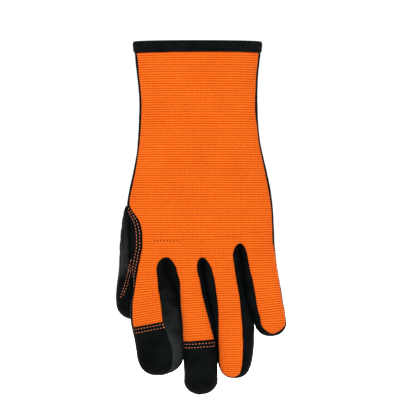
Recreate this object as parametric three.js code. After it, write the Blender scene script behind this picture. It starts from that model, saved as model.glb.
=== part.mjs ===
// Mechanic glove for the left hand, empty and hanging with its fingers down.
// Millimetres, +Z up. The origin is the middle of the cuff mouth, the back of the hand faces -Y
// and the thumb is on the -X side. One surface is drawn for the whole glove, divided into
// pieces along its seams, and each piece is given its thickness inwards.
import * as THREE from 'three';

// Named sizes
const gloveLength = 240;
const handWidth = 104.7;
const handDepth = 25;
const fingerDepth = 18.6;
const thumbDepth = 18;
const wallThickness = 1.3;
const bindingThickness = 2;
const bindingWidth = 7;
const seamGap = 0.3;
const innerBevel = 0.35;
const thumbRootGap = 0.5;
const patchThickness = 1.1;
const fingerGap = 0.8;
const slotRounding = 6.8;
const webDrop = 7;
const fingerCurl = 6;

// Levels down the glove, as shares of gloveLength
const thumbTopLevel = 0.4625;
const littleCrotchLevel = 0.5721;
const longCrotchLevel = 0.6112;
const curlLevel = 0.55;

// Lengths above and below a crotch over which the hand turns into fingers
const blendAbove = 16;
const blendBelow = 20;

// Roundness of every cross-section: 2 is an ellipse, more is boxier
const sectionPower = 2.3;
const valleySoftness = 0.12;
const palmSeamShare = 0.72;
const outerPalmSeamShare = 0.8;
const outerLimit = 0.985;

// Mesh divisions
const stripColumns = 5;
const sideColumns = 4;
const saddleColumns = 2;
const saddleShare = 0.2;
const thumbSideColumns = 4;
const windowPalmColumns = 2;
const windowJoinRows = 3;
const patchFirstRow = 4;
const patchIndexColumns = 2;
const closingRows = 5;
const fourchetteEndRow = 2;
const orangeEndRow = 4;

// Outline of the hand and of the outer sides of the index and little fingers
// drop: share of gloveLength; left and right: shares of handWidth; depth: share of handDepth
const outline = [
  { drop: 0, left: -0.4091, right: 0.4286, depth: 0.64 },
  { drop: 0.0941, left: -0.3864, right: 0.4065, depth: 0.58 },
  { drop: 0.1791, left: -0.3701, right: 0.4, depth: 0.55 },
  { drop: 0.2783, left: -0.3799, right: 0.4195, depth: 0.53 },
  { drop: 0.3689, left: -0.4123, right: 0.4623, depth: 0.52 },
  { drop: 0.4341, left: -0.4416, right: 0.4909, depth: 0.51 },
  { drop: 0.4823, left: -0.4623, right: 0.5052, depth: 0.5 },
  { drop: 0.522, left: -0.4792, right: 0.5097, depth: 0.5 },
  { drop: 0.5616, left: -0.487, right: 0.5117, depth: 0.5 },
  { drop: 0.5956, left: -0.4838, right: 0.5195, depth: 0.49 },
  { drop: 0.6296, left: -0.4662, right: 0.5286, depth: 0.48 },
  { drop: 0.6636, left: -0.4468, right: 0.539, depth: 0.47 },
  { drop: 0.7033, left: -0.4338, right: 0.5532, depth: 0.46 },
  { drop: 0.743, left: -0.4292, right: 0.5675, depth: 0.46 },
  { drop: 0.777, left: -0.4266, right: 0.5805, depth: 0.46 },
  { drop: 0.811, left: -0.413, right: 0.5844, depth: 0.46 },
  { drop: 0.8393, left: -0.3987, right: 0.5844, depth: 0.46 },
  { drop: 0.879, left: -0.3883, right: 0.5844, depth: 0.46 },
];

// Distance of the knit's thumb-side edge from the outline, as a share of handWidth
const saddleEdge = [
  { drop: 0, reach: 0.013 },
  { drop: 0.437, reach: 0.013 },
  { drop: 0.4596, reach: 0.0182 },
  { drop: 0.4766, reach: 0.0403 },
  { drop: 0.4908, reach: 0.0714 },
  { drop: 0.5078, reach: 0.1039 },
  { drop: 0.5276, reach: 0.1247 },
  { drop: 0.5531, reach: 0.1364 },
  { drop: 0.5786, reach: 0.1357 },
  { drop: 0.607, reach: 0.1169 },
  { drop: 0.641, reach: 0.0812 },
  { drop: 0.675, reach: 0.0468 },
  { drop: 0.7033, reach: 0.0227 },
  { drop: 0.743, reach: 0.013 },
  { drop: 0.845, reach: 0.0104 },
];
const littleEdgeShare = 0.0117;

// The three slots between the fingers. valley: where the two fingers touch, a share of handWidth
// before and after: distance from the valley to the knit's edge on the index and little side
const slots = [
  {
    crotch: longCrotchLevel,
    rows: [
      { drop: 0, valley: -0.1818, before: 0.0649, after: 0.0519 },
      { drop: 0.6107, valley: -0.1916, before: 0.0682, after: 0.0519 },
      { drop: 0.6466, valley: -0.1851, before: 0.0747, after: 0.0636 },
      { drop: 0.675, valley: -0.1591, before: 0.0942, after: 0.0552 },
      { drop: 0.709, valley: -0.1266, before: 0.1201, after: 0.0266 },
      { drop: 0.743, valley: -0.113, before: 0.1208, after: 0.0175 },
      { drop: 0.7883, valley: -0.0987, before: 0.111, after: 0.0143 },
      { drop: 0.845, valley: -0.0896, before: 0.089, after: 0.0117 },
      { drop: 0.879, valley: -0.0818, before: 0.0805, after: 0.0084 },
      { drop: 1, valley: -0.0779, before: 0.0779, after: 0.0149 },
    ],
  },
  {
    crotch: longCrotchLevel,
    rows: [
      { drop: 0, valley: 0.0195, before: 0.039, after: 0.0455 },
      { drop: 0.6107, valley: 0.0409, before: 0.0442, after: 0.0468 },
      { drop: 0.6466, valley: 0.0474, before: 0.0442, after: 0.0604 },
      { drop: 0.675, valley: 0.0584, before: 0.039, after: 0.0649 },
      { drop: 0.7203, valley: 0.0766, before: 0.0377, after: 0.0617 },
      { drop: 0.7657, valley: 0.0994, before: 0.0344, after: 0.0494 },
      { drop: 0.8167, valley: 0.1208, before: 0.026, after: 0.0305 },
      { drop: 0.8507, valley: 0.1312, before: 0.0182, after: 0.0208 },
      { drop: 0.9017, valley: 0.1416, before: 0.0182, after: 0.0143 },
      { drop: 1, valley: 0.1416, before: 0.0169, after: 0.0208 },
    ],
  },
  {
    crotch: littleCrotchLevel,
    rows: [
      { drop: 0, valley: 0.2273, before: 0.0455, after: 0.0455 },
      { drop: 0.5721, valley: 0.2864, before: 0.0494, after: 0.0416 },
      { drop: 0.607, valley: 0.2961, before: 0.0604, after: 0.0416 },
      { drop: 0.641, valley: 0.3091, before: 0.0623, after: 0.0416 },
      { drop: 0.675, valley: 0.3156, before: 0.0558, after: 0.0545 },
      { drop: 0.7203, valley: 0.3299, before: 0.0506, after: 0.0597 },
      { drop: 0.7543, valley: 0.3506, before: 0.063, after: 0.0519 },
      { drop: 0.7883, valley: 0.374, before: 0.0805, after: 0.0481 },
      { drop: 0.8223, valley: 0.374, before: 0.0753, after: 0.0545 },
      { drop: 0.8592, valley: 0.3636, before: 0.061, after: 0.0649 },
      { drop: 0.9583, valley: 0.3429, before: 0.0506, after: 0.0857 },
    ],
  },
];

// Fingers from the thumb side. tip and cap: levels down the glove, cap 0 where the knit runs on
// round: length of the rounded end as a share of handWidth; end: depth there as a share of
// fingerDepth; tilt: how far the rows rise to the right; fade: where a rounded knit end begins
const fingers = [
  { name: 'index', tip: 0.947, cap: 0.7974, round: 0.1624, end: 0.92, tilt: 0.2, fade: 1 },
  { name: 'middle', tip: 1, cap: 0.8484, round: 0.1041, end: 0.92, tilt: 0.07, fade: 1 },
  { name: 'ring', tip: 0.9569, cap: 0, round: 0.1433, end: 0.88, tilt: 0.02, fade: 0.8 },
  { name: 'little', tip: 0.8325, cap: 0, round: 0.0907, end: 0.82, tilt: 0.12, fade: 0 },
];

// Thumb below its root. centre and half: shares of handWidth; depth: share of thumbDepth
const thumbStations = [
  { drop: 0.6891, centre: -0.4091, half: 0.1006, depth: 1 },
  { drop: 0.726, centre: -0.4136, half: 0.1039, depth: 1 },
  { drop: 0.7487, centre: -0.4117, half: 0.1039, depth: 0.97 },
  { drop: 0.794, centre: -0.4026, half: 0.1039, depth: 0.93 },
];
const thumbRootRows = 5;
const thumbBodyRows = 2;
const thumbCloseLevel = 0.7487;
const thumbLeave = 14;
const thumbArrive = 26;
const thumbCrotchReach = 0.13;
const thumbCrotchRounds = 5;

// Where the corners of the thumb's opening end up round the thumb, in degrees from its inner side
const thumbCorners = { frontTop: 165, frontBottom: 210, palmBottom: 350, palmTop: 440 };

const looks = {
  knit: { color: 0xe8641a, roughness: 0.85, metalness: 0 },
  leather: { color: 0x16191a, roughness: 0.75, metalness: 0 },
  side: { color: 0x232627, roughness: 0.8, metalness: 0 },
  patch: { color: 0x1b1e1f, roughness: 0.7, metalness: 0 },
  binding: { color: 0x101213, roughness: 0.85, metalness: 0 },
};

const lerp = THREE.MathUtils.lerp;
const clamp = THREE.MathUtils.clamp;
const smooth = THREE.MathUtils.smoothstep;

// Smooth curve through one column of a table, without overshoot
function follow(rows, column, level) {
  const last = rows.length - 1;
  if (level <= rows[0].drop) return rows[0][column];
  if (level >= rows[last].drop) return rows[last][column];
  let k = 0;
  while (level > rows[k + 1].drop) k += 1;
  const rise = (i) => (rows[i + 1][column] - rows[i][column]) / (rows[i + 1].drop - rows[i].drop);
  const slope = (i) => {
    if (i === 0) return rise(0);
    if (i === last) return rise(last - 1);
    const product = rise(i - 1) * rise(i);
    return product <= 0 ? 0 : (2 * product) / (rise(i - 1) + rise(i));
  };
  const span = rows[k + 1].drop - rows[k].drop;
  const t = (level - rows[k].drop) / span;
  const start = rows[k][column];
  const end = rows[k + 1][column];
  const easeIn = (1 + 2 * t) * (1 - t) ** 2 * start + t * (1 - t) ** 2 * span * slope(k);
  return easeIn + t * t * (3 - 2 * t) * end + t * t * (t - 1) * span * slope(k + 1);
}

// Cross-sections
const level = (drop) => drop / gloveLength;
const bend = (v) => Math.sign(v) * Math.abs(v) ** (2 / sectionPower);
const unbend = (v) => Math.sign(v) * Math.abs(v) ** (sectionPower / 2);
const angleOf = (share) => Math.acos(unbend(clamp(share, -1, 1)));
const heightAt = (share) => Math.max(0, 1 - Math.abs(clamp(share, -1, 1)) ** sectionPower) ** (1 / sectionPower);
const valleyAt = (k, drop) => follow(slots[k].rows, 'valley', level(drop)) * handWidth;

function handSection(drop) {
  const left = follow(outline, 'left', level(drop)) * handWidth;
  const right = follow(outline, 'right', level(drop)) * handWidth;
  const depth = follow(outline, 'depth', level(drop)) * handDepth;
  return { centre: (left + right) / 2, half: (right - left) / 2, depth };
}

const joinEnd = longCrotchLevel * gloveLength + blendBelow;
const tipOf = (i) => fingers[i].tip * gloveLength;
const closeOf = (i) => tipOf(i) - fingers[i].round * handWidth;
const orangeEndOf = (i) => lerp(closeOf(i), tipOf(i), Math.sin((orangeEndRow / closingRows) * (Math.PI / 2)));

function fingerSection(i, drop) {
  const hand = handSection(drop);
  const left = i === 0 ? hand.centre - hand.half : valleyAt(i - 1, drop) + fingerGap / 2;
  const right = i === 3 ? hand.centre + hand.half : valleyAt(i, drop) - fingerGap / 2;
  const slim = lerp(1, fingers[i].end, clamp((drop - joinEnd) / (tipOf(i) - joinEnd), 0, 1));
  const past = clamp((drop - closeOf(i)) / (tipOf(i) - closeOf(i)), 0, 1);
  const closing = Math.max(0, 1 - past ** 2.2) ** (1 / 2.2);
  const half = (closing * (right - left)) / 2;
  return { centre: (left + right) / 2, half, depth: (closing * slim * fingerDepth) / 2, full: (right - left) / 2 };
}

// Edge of the knit or cap on one side of a finger, as a share of the finger's half width
function frontSeamShare(i, side, drop) {
  const held = Math.min(drop, closeOf(i));
  const section = fingerSection(i, held);
  let edge;
  if (side < 0 && i === 0) {
    edge = section.centre - section.full + follow(saddleEdge, 'reach', level(held)) * handWidth;
  } else if (side < 0) {
    edge = valleyAt(i - 1, held) + follow(slots[i - 1].rows, 'after', level(held)) * handWidth;
  } else if (i === 3) {
    edge = section.centre + section.full - littleEdgeShare * handWidth;
  } else {
    edge = valleyAt(i, held) - follow(slots[i].rows, 'before', level(held)) * handWidth;
  }
  const share = clamp((edge - section.centre) / section.full, -outerLimit, outerLimit);
  const past = clamp((drop - closeOf(i)) / (tipOf(i) - closeOf(i)), 0, 1);
  if (fingers[i].cap > 0) return lerp(share, side * outerLimit, smooth(past, 0, 1));
  return share;
}

// A rounded knit end draws both of its edges together
function frontSeams(i, drop) {
  const left = frontSeamShare(i, -1, drop);
  const right = frontSeamShare(i, 1, drop);
  if (fingers[i].cap > 0) return { left, right };
  const start = lerp(closeOf(i), orangeEndOf(i), fingers[i].fade);
  const past = clamp((drop - start) / (orangeEndOf(i) - start), 0, 1);
  const draw = Math.sqrt(Math.max(0, 1 - past ** 2));
  const middle = (left + right) / 2;
  return { left: lerp(middle, left, draw), right: lerp(middle, right, draw) };
}

// How far a slot has opened at a drop, from 0 at its crotch to 1
function opening(k, drop) {
  const s = clamp((drop - slots[k].crotch * gloveLength) / slotRounding, 0, 1);
  return Math.sqrt(Math.max(0, 1 - (1 - s) ** 2));
}

// Share of finger shape in place of hand shape
function fingerShare(i, u, drop) {
  const before = slots[Math.max(0, i - 1)].crotch;
  const after = slots[Math.min(2, i)].crotch;
  const crotch = lerp(before, after, u) * gloveLength;
  return smooth(drop, crotch - blendAbove, crotch + blendBelow);
}

function spread(section, from, to, u) {
  if (section.half < 1e-6) return lerp(from, to, u);
  const a = angleOf((from - section.centre) / section.half);
  const b = angleOf((to - section.centre) / section.half);
  const range = bend(Math.cos(b)) - bend(Math.cos(a));
  const part = Math.abs(range) < 1e-6 ? u : (bend(Math.cos(lerp(a, b, u))) - bend(Math.cos(a))) / range;
  return lerp(from, to, part);
}

// Point on the back (face -1) or on the palm (face 1) of strip i, at share u across it
function stripPoint(i, u, drop, face) {
  const hand = handSection(drop);
  const finger = fingerSection(i, drop);
  const blendLeft = fingerShare(i, 0, drop);
  const blendRight = fingerShare(i, 1, drop);
  const seams = face < 0 ? frontSeams(i, drop) : { left: -palmSeamShare, right: palmSeamShare };
  const leftSlot = () => {
    const valley = valleyAt(i - 1, drop);
    return lerp(valley, finger.centre + finger.half * seams.left, opening(i - 1, drop));
  };
  const rightSlot = () => {
    const valley = valleyAt(i, drop);
    return lerp(valley, finger.centre + finger.half * seams.right, opening(i, drop));
  };
  const outer = (side, blend) => {
    if (face > 0) {
      const handEdge = hand.centre + side * outerPalmSeamShare * hand.half;
      return lerp(handEdge, finger.centre + side * outerPalmSeamShare * finger.half, blend);
    }
    return finger.centre + finger.half * (side < 0 ? seams.left : seams.right);
  };
  const from = i === 0 ? outer(-1, blendLeft) : leftSlot();
  const to = i === 3 ? outer(1, blendRight) : rightSlot();
  const blend = fingerShare(i, u, drop);
  const x = lerp(spread(hand, from, to, u), spread(finger, from, to, u), blend);
  const soft = 1 - valleySoftness * (1 - blend);
  const handHeight = hand.depth * heightAt((x - hand.centre) / hand.half);
  const across = finger.half > 1e-6 ? (x - finger.centre) / finger.half : 0;
  const y = face * lerp(handHeight, finger.depth * heightAt(clamp(across, -1, 1) * soft), blend);
  return { x, y };
}

// Point on the side of finger i towards side (-1 left, 1 right), from its front seam (w 0) to
// its palm seam (w 1)
function sidePoint(i, side, w, drop) {
  const front = stripPoint(i, side < 0 ? 0 : 1, drop, -1);
  const back = stripPoint(i, side < 0 ? 0 : 1, drop, 1);
  const finger = fingerSection(i, drop);
  const seams = frontSeams(i, drop);
  const outside = (i === 0 && side < 0) || (i === 3 && side > 0);
  const palmShare = side * (outside ? outerPalmSeamShare : palmSeamShare);
  const around = (section) => {
    const a = angleOf(side < 0 ? seams.left : seams.right);
    const b = angleOf(palmShare);
    const turn = side > 0 ? lerp(a, -b, w) : lerp(a, 2 * Math.PI - b, w);
    return {
      x: section.centre + section.half * bend(Math.cos(turn)),
      y: -section.depth * bend(Math.sin(turn)),
    };
  };
  const fit = (raw, start, end) => ({
    x: raw.x + (1 - w) * (front.x - start.x) + w * (back.x - end.x),
    y: raw.y + (1 - w) * (front.y - start.y) + w * (back.y - end.y),
  });
  const ends = (section) => {
    const a = angleOf(side < 0 ? seams.left : seams.right);
    const b = angleOf(palmShare);
    const at = (turn, face) => ({
      x: section.centre + section.half * bend(Math.cos(turn)),
      y: face * section.depth * bend(Math.sin(turn)),
    });
    return [at(a, -1), at(b, 1)];
  };
  if (outside) {
    const hand = handSection(drop);
    const seamX = finger.centre + finger.half * (side < 0 ? seams.left : seams.right);
    const blend = fingerShare(i, side < 0 ? 0 : 1, drop);
    const a = angleOf((seamX - hand.centre) / hand.half);
    const b = angleOf(palmShare);
    const turn = side > 0 ? lerp(a, -b, w) : lerp(a, 2 * Math.PI - b, w);
    const handRaw = {
      x: hand.centre + hand.half * bend(Math.cos(turn)),
      y: -hand.depth * bend(Math.sin(turn)),
    };
    const handEnds = [
      { x: seamX, y: -hand.depth * bend(Math.sin(a)) },
      { x: hand.centre + palmShare * hand.half, y: hand.depth * bend(Math.sin(b)) },
    ];
    const handPoint = fit(handRaw, ...handEnds);
    const fingerPoint = fit(around(finger), ...ends(finger));
    return { x: lerp(handPoint.x, fingerPoint.x, blend), y: lerp(handPoint.y, fingerPoint.y, blend) };
  }
  const k = side < 0 ? i - 1 : i;
  const open = opening(k, drop);
  const valley = valleyAt(k, drop);
  const fitted = fit(around(finger), ...ends(finger));
  const flatY = lerp(front.y, back.y, w);
  const rawX = lerp(valley, around(finger).x, open);
  const startX = lerp(valley, ends(finger)[0].x, open);
  const endX = lerp(valley, ends(finger)[1].x, open);
  return {
    x: rawX + (1 - w) * (front.x - startX) + w * (back.x - endX),
    y: lerp(flatY, fitted.y, open),
  };
}

// Place in the glove of a point of finger i: the palm side of the webs sits lower, the rows of a
// finger tilt, and everything below the knuckles curls towards the palm
function curlAt(drop) {
  const past = Math.max(0, drop - curlLevel * gloveLength) / ((1 - curlLevel) * gloveLength);
  return fingerCurl * past ** 2;
}

function place(point, i, w, drop) {
  const crotch = longCrotchLevel * gloveLength;
  const reach = blendAbove + blendBelow;
  const web = webDrop * w * Math.max(0, 1 - ((drop - crotch) / reach) ** 2) ** 2;
  const ramp = smooth(drop, crotch, joinEnd + blendBelow);
  const finger = fingerSection(i, drop);
  const down = drop + web - fingers[i].tilt * ramp * (point.x - finger.centre);
  return new THREE.Vector3(point.x, point.y + curlAt(down), -down);
}

// The whole surface: points shared along the seams, and faces that know their piece
const points = [];
const pointIndex = new Map();
const faces = [];

function pointAt(v) {
  const key = [v.x, v.y, v.z].map((c) => Math.round(c * 2000)).join(' ');
  if (!pointIndex.has(key)) {
    pointIndex.set(key, points.length);
    points.push(v.clone());
  }
  return pointIndex.get(key);
}

function addFace(a, b, c, piece, covered) {
  if (a !== b && b !== c && c !== a) faces.push({ corners: [a, b, c], piece, covered });
}

// Grid of points by row and column, columns running to the right and rows down
function addGrid(rowCount, columnCount, at, pieceOf, coveredAt = () => false) {
  const grid = [];
  for (let r = 0; r <= rowCount; r += 1) {
    const line = [];
    for (let c = 0; c <= columnCount; c += 1) line.push(pointAt(at(r, c)));
    grid.push(line);
  }
  for (let r = 0; r < rowCount; r += 1) {
    for (let c = 0; c < columnCount; c += 1) {
      const piece = pieceOf(r, c);
      const covered = coveredAt(r, c);
      if (piece) {
        addFace(grid[r][c], grid[r + 1][c], grid[r + 1][c + 1], piece, covered);
        addFace(grid[r][c], grid[r + 1][c + 1], grid[r][c + 1], piece, covered);
      }
    }
  }
  return grid;
}

// Drops of the rows shared by the whole hand, finely spaced just below each crotch
function divide(from, to, count, ease) {
  const rows = [];
  for (let k = 1; k <= count; k += 1) rows.push(lerp(from, to, (k / count) ** ease));
  return rows;
}
const thumbTop = thumbTopLevel * gloveLength;
const littleCrotch = littleCrotchLevel * gloveLength;
const longCrotch = longCrotchLevel * gloveLength;
const cuffRows = 7;
const thumbRows = 5;
const stepRows = 4;
const joinRows = 5;
const handRows = [
  0,
  bindingWidth,
  ...divide(bindingWidth, thumbTop, cuffRows, 1),
  ...divide(thumbTop, littleCrotch, thumbRows, 1),
  ...divide(littleCrotch, longCrotch, stepRows, 2),
  ...divide(longCrotch, joinEnd, joinRows, 2),
];
const thumbTopRow = 1 + cuffRows;
const littleCrotchRow = thumbTopRow + thumbRows;
const longCrotchRow = littleCrotchRow + stepRows;
const windowEndRow = longCrotchRow + windowJoinRows;
const joinEndRow = handRows.length - 1;

function fingerRows(i) {
  const close = closeOf(i);
  const cap = fingers[i].cap * gloveLength;
  const body = cap > 0 ? [...divide(joinEnd, cap, 3, 1), ...divide(cap, close, 2, 1)] : divide(joinEnd, close, 4, 1);
  const end = [];
  for (let k = 1; k <= closingRows; k += 1) {
    end.push(lerp(close, tipOf(i), Math.sin((k / closingRows) * (Math.PI / 2))));
  }
  return { drops: [...handRows, ...body, ...end], capRow: joinEndRow + 3, closeRow: joinEndRow + body.length };
}

// Rows of the thumb's opening, and the shares of its side columns
const inWindow = (r) => r >= thumbTopRow && r < windowEndRow;
const thumbSideShares = [];
for (let c = 0; c <= saddleColumns; c += 1) thumbSideShares.push((saddleShare * c) / saddleColumns);
for (let c = 1; c <= thumbSideColumns; c += 1) thumbSideShares.push(lerp(saddleShare, 1, c / thumbSideColumns));
const windowEdges = { front: [], palm: [], top: [], bottom: [] };
const slotNames = ['fourchette_index_middle', 'fourchette_middle_ring', 'fourchette_ring_little'];
const crotchRows = [longCrotchRow, longCrotchRow, littleCrotchRow];

fingers.forEach((finger, i) => {
  const { drops, capRow, closeRow } = fingerRows(i);
  const rowCount = drops.length - 1;
  const sideEnd = closeRow + fourchetteEndRow;
  const at = (face) => (r, c) => {
    const u = face < 0 ? c / stripColumns : 1 - c / stripColumns;
    return place(stripPoint(i, u, drops[r], face), i, face < 0 ? 0 : 1, drops[r]);
  };
  addGrid(rowCount, stripColumns, at(-1), (r) => {
    if (r === 0) return 'cuff_binding';
    if (finger.cap > 0 && r >= capRow) return `${finger.name}_tip_cap`;
    return r < closeRow + orangeEndRow || finger.cap > 0 ? 'back_panel' : 'palm_panel';
  });
  const palmPiece = (r, c) => {
    if (r === 0) return 'cuff_binding';
    const open = i === 0 && inWindow(r) && c >= stripColumns - windowPalmColumns;
    return open ? null : 'palm_panel';
  };
  const underPatch = (r, c) => {
    if (r < patchFirstRow || r >= littleCrotchRow) return false;
    if (i === 0) return c < patchIndexColumns;
    return i < 3 || c > 0;
  };
  const palm = addGrid(rowCount, stripColumns, at(1), palmPiece, underPatch);
  for (const side of [-1, 1]) {
    const outside = (i === 0 && side < 0) || (i === 3 && side > 0);
    const shares = i === 0 && side < 0 ? thumbSideShares : divide(0, 1, sideColumns, 1);
    if (shares[0] !== 0) shares.unshift(0);
    const columns = shares.length - 1;
    const slot = side < 0 ? i - 1 : i;
    const firstRow = outside ? 0 : crotchRows[slot];
    const sideAt = (r, c) => {
      const w = side > 0 ? shares[c] : shares[columns - c];
      const drop = drops[firstRow + r];
      return place(sidePoint(i, side, w, drop), i, w, drop);
    };
    const grid = addGrid(rowCount - firstRow, columns, sideAt, (r, c) => {
      const row = firstRow + r;
      if (row === 0) return 'cuff_binding';
      if (!outside) return row < sideEnd ? slotNames[slot] : 'palm_panel';
      if (side > 0) return 'palm_panel';
      const saddle = c >= columns - saddleColumns && row >= thumbTopRow && row < joinEndRow;
      if (saddle) return 'thumb_saddle';
      return inWindow(row) ? null : 'palm_panel';
    });
    if (i === 0 && side < 0) {
      const frontColumn = columns - saddleColumns;
      for (let r = thumbTopRow; r <= windowEndRow; r += 1) windowEdges.front.push(grid[r][frontColumn]);
      for (let r = windowEndRow; r >= thumbTopRow; r -= 1) {
        windowEdges.palm.push(palm[r][stripColumns - windowPalmColumns]);
      }
      const across = (r) => [
        ...grid[r].slice(0, frontColumn + 1).reverse(),
        ...palm[r].slice(stripColumns - windowPalmColumns, stripColumns).reverse(),
      ];
      windowEdges.bottom = across(windowEndRow);
      windowEdges.top = across(thumbTopRow).reverse();
    }
  }
});

// Normals of the finished surface, weighted by the corner angles
function surfaceNormals() {
  const normals = points.map(() => new THREE.Vector3());
  const around = points.map(() => []);
  for (const face of faces) {
    const [a, b, c] = face.corners.map((n) => points[n]);
    const normal = new THREE.Vector3().crossVectors(b.clone().sub(a), c.clone().sub(a)).normalize();
    face.normal = normal;
    face.corners.forEach((n, k) => {
      const p = points[face.corners[(k + 1) % 3]].clone().sub(points[n]);
      const q = points[face.corners[(k + 2) % 3]].clone().sub(points[n]);
      const angle = p.angleTo(q);
      normals[n].addScaledVector(normal, angle);
      around[n].push({ normal, angle });
    });
  }
  normals.forEach((n, k) => {
    n.normalize();
    const total = around[k].reduce((sum, entry) => sum + entry.angle, 0);
    const facing = around[k].reduce((sum, entry) => sum + entry.angle * entry.normal.dot(n), 0);
    n.divideScalar(clamp(facing / Math.max(total, 1e-9), 0.6, 1));
  });
  return normals;
}

// Thumb: each point of the opening's rim runs down to its own place round the thumb
const rim = [
  ...windowEdges.front.slice(0, -1).map((n, k, all) => ({ n, from: 'frontTop', to: 'frontBottom', t: k / all.length })),
  ...windowEdges.bottom.slice(0, -1).map((n, k, all) => ({ n, from: 'frontBottom', to: 'palmBottom', t: k / all.length })),
  ...windowEdges.palm.slice(0, -1).map((n, k, all) => ({ n, from: 'palmBottom', to: 'palmTop', t: k / all.length })),
  ...windowEdges.top.slice(0, -1).map((n, k, all) => ({ n, from: 'palmTop', to: 'frontTop', t: k / all.length })),
];
const rimNormals = surfaceNormals();
const thumbTip = thumbStations[thumbStations.length - 1].drop * gloveLength;
const thumbClose = thumbCloseLevel * gloveLength;
const thumbJoin = thumbStations[0].drop * gloveLength;

function thumbPoint(angle, drop) {
  const centre = follow(thumbStations, 'centre', level(drop)) * handWidth;
  const past = clamp((drop - thumbClose) / (thumbTip - thumbClose), 0, 1);
  const closing = Math.sqrt(Math.max(0, 1 - past ** 2));
  const half = closing * follow(thumbStations, 'half', level(drop)) * handWidth;
  const depth = (follow(thumbStations, 'depth', level(drop)) * thumbDepth) / 2;
  const middle = fingerDepth / 2 + depth + curlAt(drop);
  return new THREE.Vector3(
    centre + half * bend(Math.cos(angle)),
    middle + closing * depth * bend(Math.sin(angle)),
    -drop,
  );
}

function rimAngle(entry) {
  const start = thumbCorners[entry.from];
  const end = entry.to === 'frontTop' ? thumbCorners.frontTop + 360 : thumbCorners[entry.to];
  return THREE.MathUtils.degToRad(lerp(start, end, entry.t));
}

function thumbRootPoint(entry, t) {
  const start = points[entry.n];
  const angle = rimAngle(entry);
  const end = thumbPoint(angle, thumbJoin);
  const lowest = points[windowEdges.bottom[0]].z;
  const highest = points[windowEdges.top[0]].z;
  const low = clamp((highest - start.z) / (highest - lowest), 0, 1);
  const leave = new THREE.Vector3(0, 0, -1 + 0.85 * low);
  leave.addScaledVector(rimNormals[entry.n], 0.25 + 0.75 * low).normalize().multiplyScalar(thumbLeave);
  const arrive = new THREE.Vector3(0, 0, -thumbArrive);
  const p = start.clone().multiplyScalar((1 + 2 * t) * (1 - t) ** 2);
  p.addScaledVector(leave, t * (1 - t) ** 2);
  p.addScaledVector(end, t * t * (3 - 2 * t));
  p.addScaledVector(arrive, t * t * (t - 1));
  return p;
}

const thumbDrops = divide(thumbJoin, thumbClose, thumbBodyRows, 1);
for (let k = 1; k <= closingRows; k += 1) {
  thumbDrops.push(lerp(thumbClose, thumbTip, Math.sin((k / closingRows) * (Math.PI / 2))));
}
addGrid(
  thumbRootRows + thumbDrops.length,
  rim.length,
  (r, c) => {
    const entry = rim[c % rim.length];
    if (r === 0) return points[entry.n];
    if (r <= thumbRootRows) return thumbRootPoint(entry, r / thumbRootRows);
    return thumbPoint(rimAngle(entry), thumbDrops[r - thumbRootRows - 1]);
  },
  () => 'thumb_sleeve',
);

// The crotch of the thumb is eased, most at the corner of the opening and less out to its reach
function easeAround(centre, reach, rounds) {
  const neighbours = points.map(() => new Set());
  for (const { corners } of faces) {
    corners.forEach((n, k) => {
      neighbours[n].add(corners[(k + 1) % 3]);
      neighbours[n].add(corners[(k + 2) % 3]);
    });
  }
  const near = points.map((p, n) => n).filter((n) => points[n].distanceTo(centre) < reach);
  const hold = near.map((n) => 0.6 * (1 - smooth(points[n].distanceTo(centre), 0, reach)));
  for (let round = 0; round < rounds; round += 1) {
    const moved = near.map((n, k) => {
      const mean = new THREE.Vector3();
      for (const m of neighbours[n]) mean.add(points[m]);
      return points[n].clone().lerp(mean.divideScalar(neighbours[n].size), hold[k]);
    });
    near.forEach((n, k) => points[n].copy(moved[k]));
  }
}
easeAround(points[windowEdges.bottom[0]].clone(), thumbCrotchReach * handWidth, thumbCrotchRounds);

const normals = surfaceNormals();

// A closed solid from some faces: an outer skin, an inner skin and a wall along every edge
function solidFrom(chosen, outward, thickness, gap) {
  const used = new Map();
  for (const face of chosen) for (const n of face.corners) if (!used.has(n)) used.set(n, used.size);
  const directed = new Set();
  for (const { corners } of chosen) {
    corners.forEach((n, k) => directed.add(`${n} ${corners[(k + 1) % 3]}`));
  }
  const borders = [];
  const pulls = new Map();
  for (const { corners, normal } of chosen) {
    corners.forEach((n, k) => {
      const m = corners[(k + 1) % 3];
      if (directed.has(`${m} ${n}`)) return;
      borders.push([n, m]);
      const pull = new THREE.Vector3().crossVectors(normal, points[m].clone().sub(points[n])).normalize();
      for (const end of [n, m]) pulls.set(end, [...(pulls.get(end) ?? []), pull]);
    });
  }
  const shift = (n, width) => {
    const list = pulls.get(n);
    if (!list) return new THREE.Vector3();
    const sum = list.reduce((total, pull) => total.add(pull), new THREE.Vector3());
    const square = list.length > 1 ? Math.max(0.5, 1 + list[0].dot(list[1])) : 1;
    return sum.multiplyScalar(width / square);
  };
  const outer = [];
  const inner = [];
  for (const n of used.keys()) {
    const outerEdge = points[n].clone().add(shift(n, gap));
    const innerEdge = points[n].clone().add(shift(n, gap + innerBevel));
    outer.push(...outerEdge.addScaledVector(normals[n], outward).toArray());
    inner.push(...innerEdge.addScaledVector(normals[n], outward - thickness).toArray());
  }
  const count = used.size;
  const index = [];
  for (const { corners } of chosen) {
    const [a, b, c] = corners.map((n) => used.get(n));
    index.push(a, b, c, a + count, c + count, b + count);
  }
  for (const [n, m] of borders) {
    const a = used.get(n);
    const b = used.get(m);
    index.push(b, a, a + count, b, a + count, b + count);
  }
  const geometry = new THREE.BufferGeometry();
  geometry.setAttribute('position', new THREE.Float32BufferAttribute([...outer, ...inner], 3));
  geometry.setIndex(index);
  geometry.computeVertexNormals();
  return geometry;
}

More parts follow.
